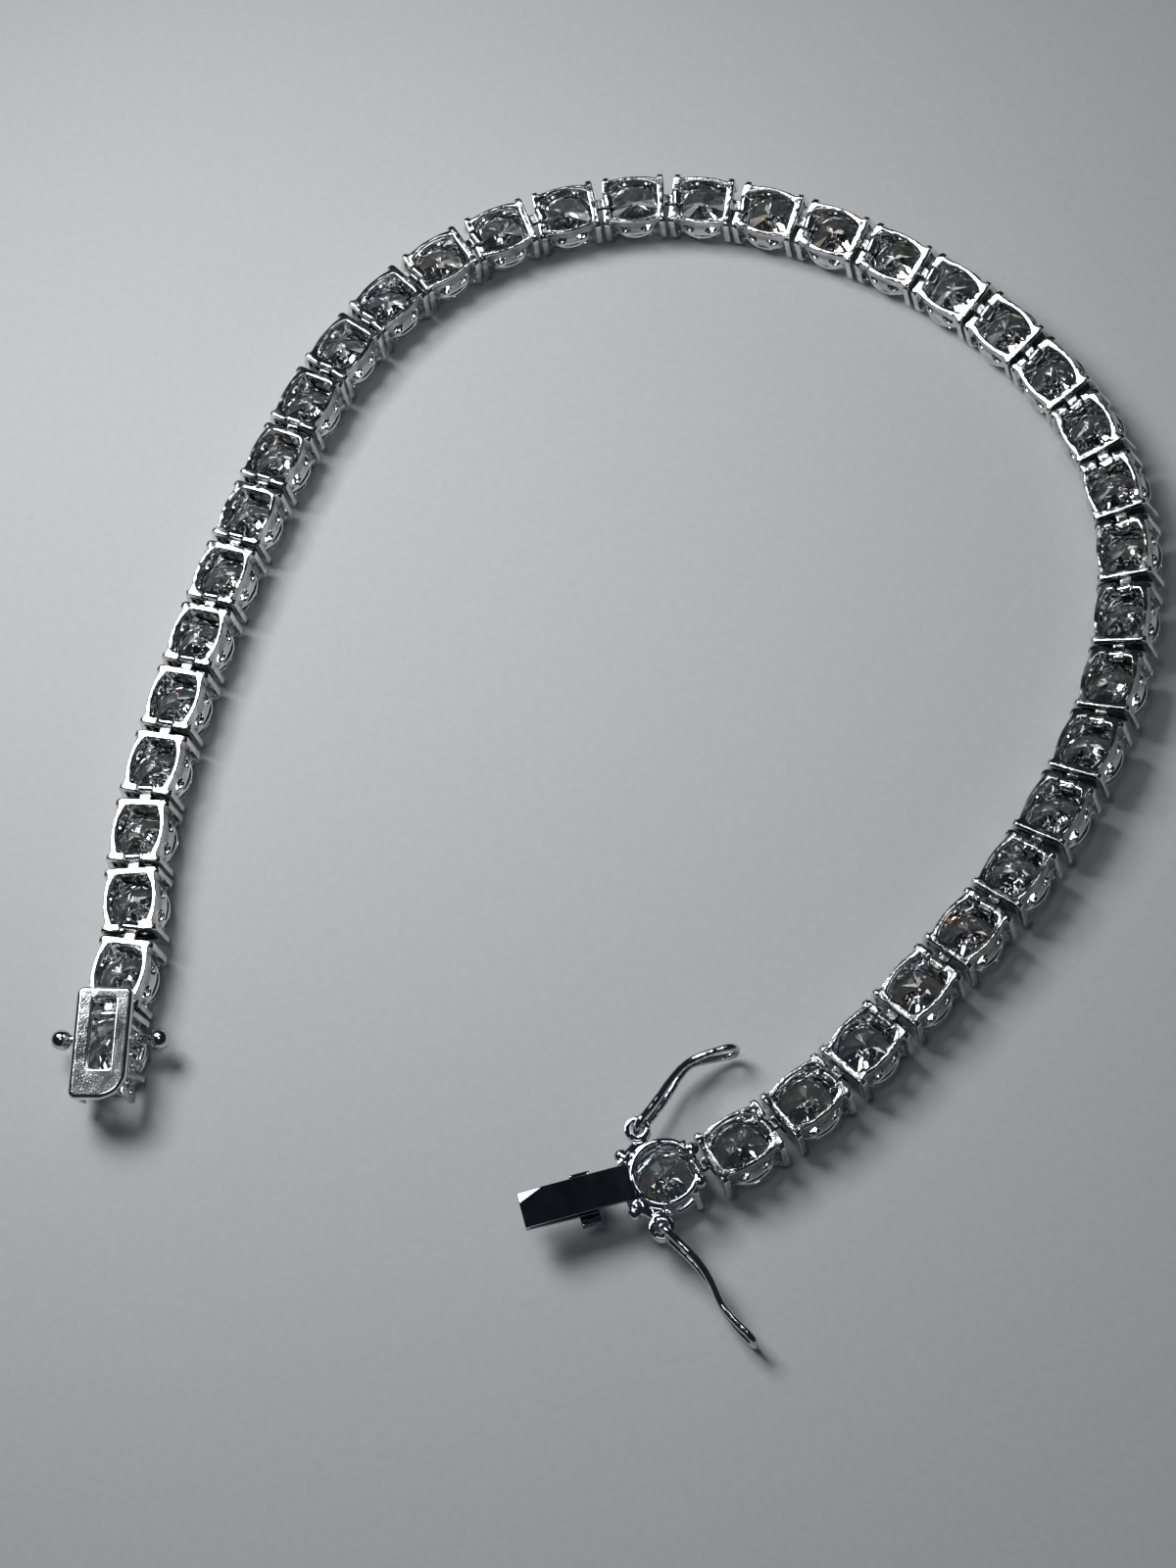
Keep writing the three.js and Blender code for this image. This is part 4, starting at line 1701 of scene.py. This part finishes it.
@dataclass
class Studio:
    """Floor, lights and the camera at the photograph's angle (millimetres and degrees)."""

    aim: Point = (-2.13, -5.18, 3.05)
    distance: float = 160.37
    elevation: float = 63.16
    roll: float = -12.63
    focal_pixels: float = 2671.0
    picture_height: float = 1600.0
    sensor: float = 36.0
    floor_size: float = 900.0
    room_color: Color = (0.8, 0.9, 1.0)
    room_strength: float = 0.022
    soft_boxes: tuple[SoftBox, ...] = (
        SoftBox(
            "far soft box", -48.0, 55.0, 146.0, (66.0, 66.0), 0.083, 119.0, (2.7, 3.6, 0.0)
        ),
        SoftBox(
            "near soft box", -133.5, 77.8, 194.4, (50.0, 50.0), 0.024, shape=LampShape.ROUND
        ),
        SoftBox("high soft box", -21.0, 68.5, 210.0, (46.0, 36.0), 0.021),
        SoftBox("right soft box", 32.0, 71.0, 246.0, (32.0, 32.0), 0.012),
    )

    def camera(self) -> None:
        """Makes the camera."""
        rise = math.radians(self.elevation)
        turn = math.radians(self.roll)
        back = Vector((0.0, -math.cos(rise), math.sin(rise)))
        right, up = Vector((1.0, 0.0, 0.0)), Vector((0.0, math.sin(rise), math.cos(rise)))
        side = right * math.cos(turn) + up * math.sin(turn)
        top = up * math.cos(turn) - right * math.sin(turn)
        data = bpy.data.cameras.new("camera")
        data.sensor_width = self.sensor
        data.lens = self.focal_pixels * self.sensor / self.picture_height
        data.clip_start, data.clip_end = 0.01, 10.0
        camera = bpy.data.objects.new("camera", data)
        bpy.context.scene.collection.objects.link(camera)
        place = Matrix.Translation((Vector(self.aim) + back * self.distance) * MM)
        camera.matrix_world = place @ Matrix((side, top, back)).transposed().to_4x4()
        bpy.context.scene.camera = camera

    def floor(self) -> None:
        """Lays the sheet of paper."""
        Bench.clear()
        bpy.ops.mesh.primitive_plane_add(size=self.floor_size * MM)
        floor = bpy.context.object
        floor.name = "paper"
        floor.data.materials.append(PaperFinish("pale paper").material())

    def build(self) -> None:
        """Sets up floor, lights, surroundings and camera."""
        self.floor()
        for soft_box in self.soft_boxes:
            soft_box.hang()
        world = bpy.data.worlds.new("dim room")
        world.use_nodes = True
        background = world.node_tree.nodes["Background"]
        background.inputs["Color"].default_value = (*self.room_color, 1.0)
        background.inputs["Strength"].default_value = self.room_strength
        scene = bpy.context.scene
        scene.world = world
        scene.view_settings.view_transform = "Standard"
        scene.view_settings.look = "None"
        scene.cycles.max_bounces = 16
        scene.cycles.transmission_bounces = 14
        scene.cycles.glossy_bounces = 8
        self.camera()


class Bracelet:
    """The whole bracelet: models each piece once and sets the copies in place."""

    stone_turn: float = 1.1
    close_up: float = 0.06
    rim_in: float = 0.3

    def __init__(self) -> None:
        """Reads the places and makes the finishes."""
        self.chain = Chain()
        skin = Shades.cast_skin()
        self.polished = SilverFinish(
            "polished silver",
            light=(0.78, 0.785, 0.8),
            dark=(0.48, 0.49, 0.52),
            roughness=(0.05, 0.2),
            wave=0.35,
            pits=0.3,
        ).material(skin)
        self.satin = SilverFinish(
            "satin silver",
            light=(0.86, 0.87, 0.89),
            dark=(0.6, 0.61, 0.64),
            roughness=(0.08, 0.14),
            wave=0.04,
            pits=0.2,
        ).material(skin)
        # Painted shade: a darker copy of the silver for the collar, knobs and latches, standing in for the dark
        # room that their mirror polish reflects.
        self.mirror = SilverFinish(
            "silver painted darker",
            light=(0.66, 0.68, 0.74),
            dark=(0.46, 0.48, 0.54),
            roughness=(0.03, 0.09),
            wave=0.02,
            pits=0.03,
        ).material(skin)
        # Painted shade: a near black copy of the silver for the tongue and its button, standing in for the dark
        # room that their mirror polish reflects.
        self.spring = SilverFinish(
            "silver painted near black",
            light=(0.3, 0.34, 0.43),
            dark=(0.18, 0.21, 0.29),
            roughness=(0.03, 0.06),
            wave=0.02,
            pits=0.03,
        ).material(skin)
        self.stone_finish = StoneFinish("clear stone")
        self.stone = self.stone_finish.material()

    @staticmethod
    def put(
        template: bpy.types.Object,
        name: str,
        place: Matrix,
        material: bpy.types.Material,
        body: str,
        slot: str,
        node: str,
    ) -> bpy.types.Object:
        """Sets a copy of a template in place, with its own mesh.

        Args:
            template: The piece that was modelled in millimetres.
            name: Name of the copy.
            place: Matrix from the template's millimetres to the frame.
            material: Its finish.
            body: The body that it rides on.
            slot: The record's material slot, which is not used.
            node: The solid that it stands for.

        Returns:
            The copy.
        """
        mesh = template.data.copy()
        mesh.name = name
        mesh.transform(place)
        mesh.materials.clear()
        mesh.materials.append(material)
        piece = bpy.data.objects.new(name, mesh)
        bpy.context.scene.collection.objects.link(piece)
        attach(piece, body)
        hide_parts(node)
        return piece

    @staticmethod
    def fit(
        template: bpy.types.Object,
        name: str,
        place: Matrix,
        material: bpy.types.Material,
        body: str,
        slot: str,
        node: str,
    ) -> bpy.types.Object:
        """Sets a piece in place that is there once, and clears its template away.

        Args:
            template: The piece that was modelled in millimetres.
            name: Name of the piece.
            place: Matrix from the template's millimetres to the frame.
            material: Its finish.
            body: The body that it rides on.
            slot: The record's material slot.
            node: The solid that it stands for.

        Returns:
            The piece.
        """
        piece = Bracelet.put(template, name, place, material, body, slot, node)
        bpy.data.objects.remove(template)
        return piece

    def links(self) -> list[bpy.types.Object]:
        """Makes all link settings, and all stones with those of the two end stations."""
        low, high = self.extent(self.chain.names[0], self.chain.links[0])
        size = (self.close_up - low.x, high.y - self.rim_in, high.z)
        setting = LinkSetting(*size).build("setting_template")
        stone = RoundBrilliant().build("stone_template")
        stations = [
            (name.removeprefix("link_"), place, name)
            for name, place in zip(self.chain.names, self.chain.links)
        ]
        pieces = [
            self.put(
                setting, f"setting_{number}", place.matrix, self.polished, CHAIN, "link_silver", node
            )
            for number, place, node in stations
        ]
        stations.append(("box", self.chain.box, "clasp_box"))
        stations.append(("tongue", self.chain.tongue, "tongue_station"))
        for seed, (number, place, node) in enumerate(stations):
            where = place.matrix @ Matrix.Rotation(seed * self.stone_turn, 4, "Z")
            name = f"stone_{number}"
            piece = self.put(stone, name, where, self.stone, CHAIN, "link_silver", node)
            self.stone_finish.tint(piece.data, seed)
            pieces.append(piece)
        bpy.data.objects.remove(setting)
        bpy.data.objects.remove(stone)
        return pieces

    @staticmethod
    def extent(node: str, place: Place) -> tuple[Vector, Vector]:
        """Lowest and highest corner of a solid in its station's own millimetres.

        Args:
            node: Name of the solid.
            place: Place of the station.

        Returns:
            The two corners.
        """
        turn = place.matrix.inverted()
        corners = np.array([turn @ corner.co for corner in frame["nodes"][node].data.vertices])
        return Vector(corners.min(axis=0)), Vector(corners.max(axis=0))

    def clasp(self) -> list[bpy.types.Object]:
        """Makes the plate, the body and the knobs of the clasp box."""
        box = ClaspBox()
        place = self.chain.box.matrix
        leaning = place @ box.lean()
        parts = (
            (box.plate("plate_template"), "clasp_plate", leaning @ box.roll(), self.satin),
            (box.body("body_template"), "clasp_body", leaning, self.polished),
            (box.knobs("knob_template"), "clasp_knobs", place, self.mirror),
        )
        return [self.fit(*part, CHAIN, "clasp_silver", "clasp_box") for part in parts]

    def station(self) -> list[bpy.types.Object]:
        """Makes the collar, the tongue and its button."""
        station = TongueStation()
        place = self.chain.tongue.matrix
        leaning = place @ station.lean()
        parts = (
            (station.body("body_template"), "tongue_collar", place, self.mirror),
            (station.tongue("tongue_template"), "tongue_leaf", leaning, self.spring),
            (station.button("button_template"), "tongue_button", leaning, self.spring),
        )
        return [self.fit(*part, CHAIN, "station_silver", "tongue_station") for part in parts]

    def latches(self) -> list[bpy.types.Object]:
        """Makes the two safety latches on their hinges."""
        pieces = []
        for joint in frame["joints"]:
            node = frame["record"]["behaviour"]["bodies"][joint["child"]][0]
            pivot = Vector(joint["pos_m"])
            latch = SafetyLatch.left() if node.endswith("left") else SafetyLatch.right()
            tip = self.far_corner(node, pivot)
            heading = math.atan2(tip.y - pivot.y, tip.x - pivot.x) - latch.tip_angle
            place = Matrix.Translation((pivot.x, pivot.y, 0.0))
            place = place @ Matrix.Rotation(heading, 4, "Z") @ Matrix.Scale(MM, 4)
            wire = latch.build("latch_template")
            body = joint["child"]
            pieces.append(
                self.fit(wire, f"{node}_wire", place, self.mirror, body, "latch_silver", node)
            )
        return pieces

    @staticmethod
    def far_corner(node: str, pivot: Vector) -> Vector:
        """Middle of the corners of a solid that lie farthest from a pivot, seen from above.

        Args:
            node: Name of the solid.
            pivot: The pivot.

        Returns:
            The middle of the tip.
        """
        tip_depth = 0.2 * MM
        corners = np.array([corner.co for corner in frame["nodes"][node].data.vertices], float)
        reach = np.linalg.norm(corners[:, :2] - np.array(pivot)[:2], axis=1)
        return Vector(corners[reach > reach.max() - tip_depth].mean(axis=0))


def main() -> None:
    """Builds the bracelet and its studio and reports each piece."""
    logging.basicConfig(level=logging.INFO, format="%(name)s: %(message)s")
    bracelet = Bracelet()
    for make in (bracelet.links, bracelet.clasp, bracelet.station, bracelet.latches):
        for piece in make():
            log.info("%s: %d faces", piece.name, len(piece.data.polygons))
    Studio().build()
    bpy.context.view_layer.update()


if __name__ == "__main__":
    main()
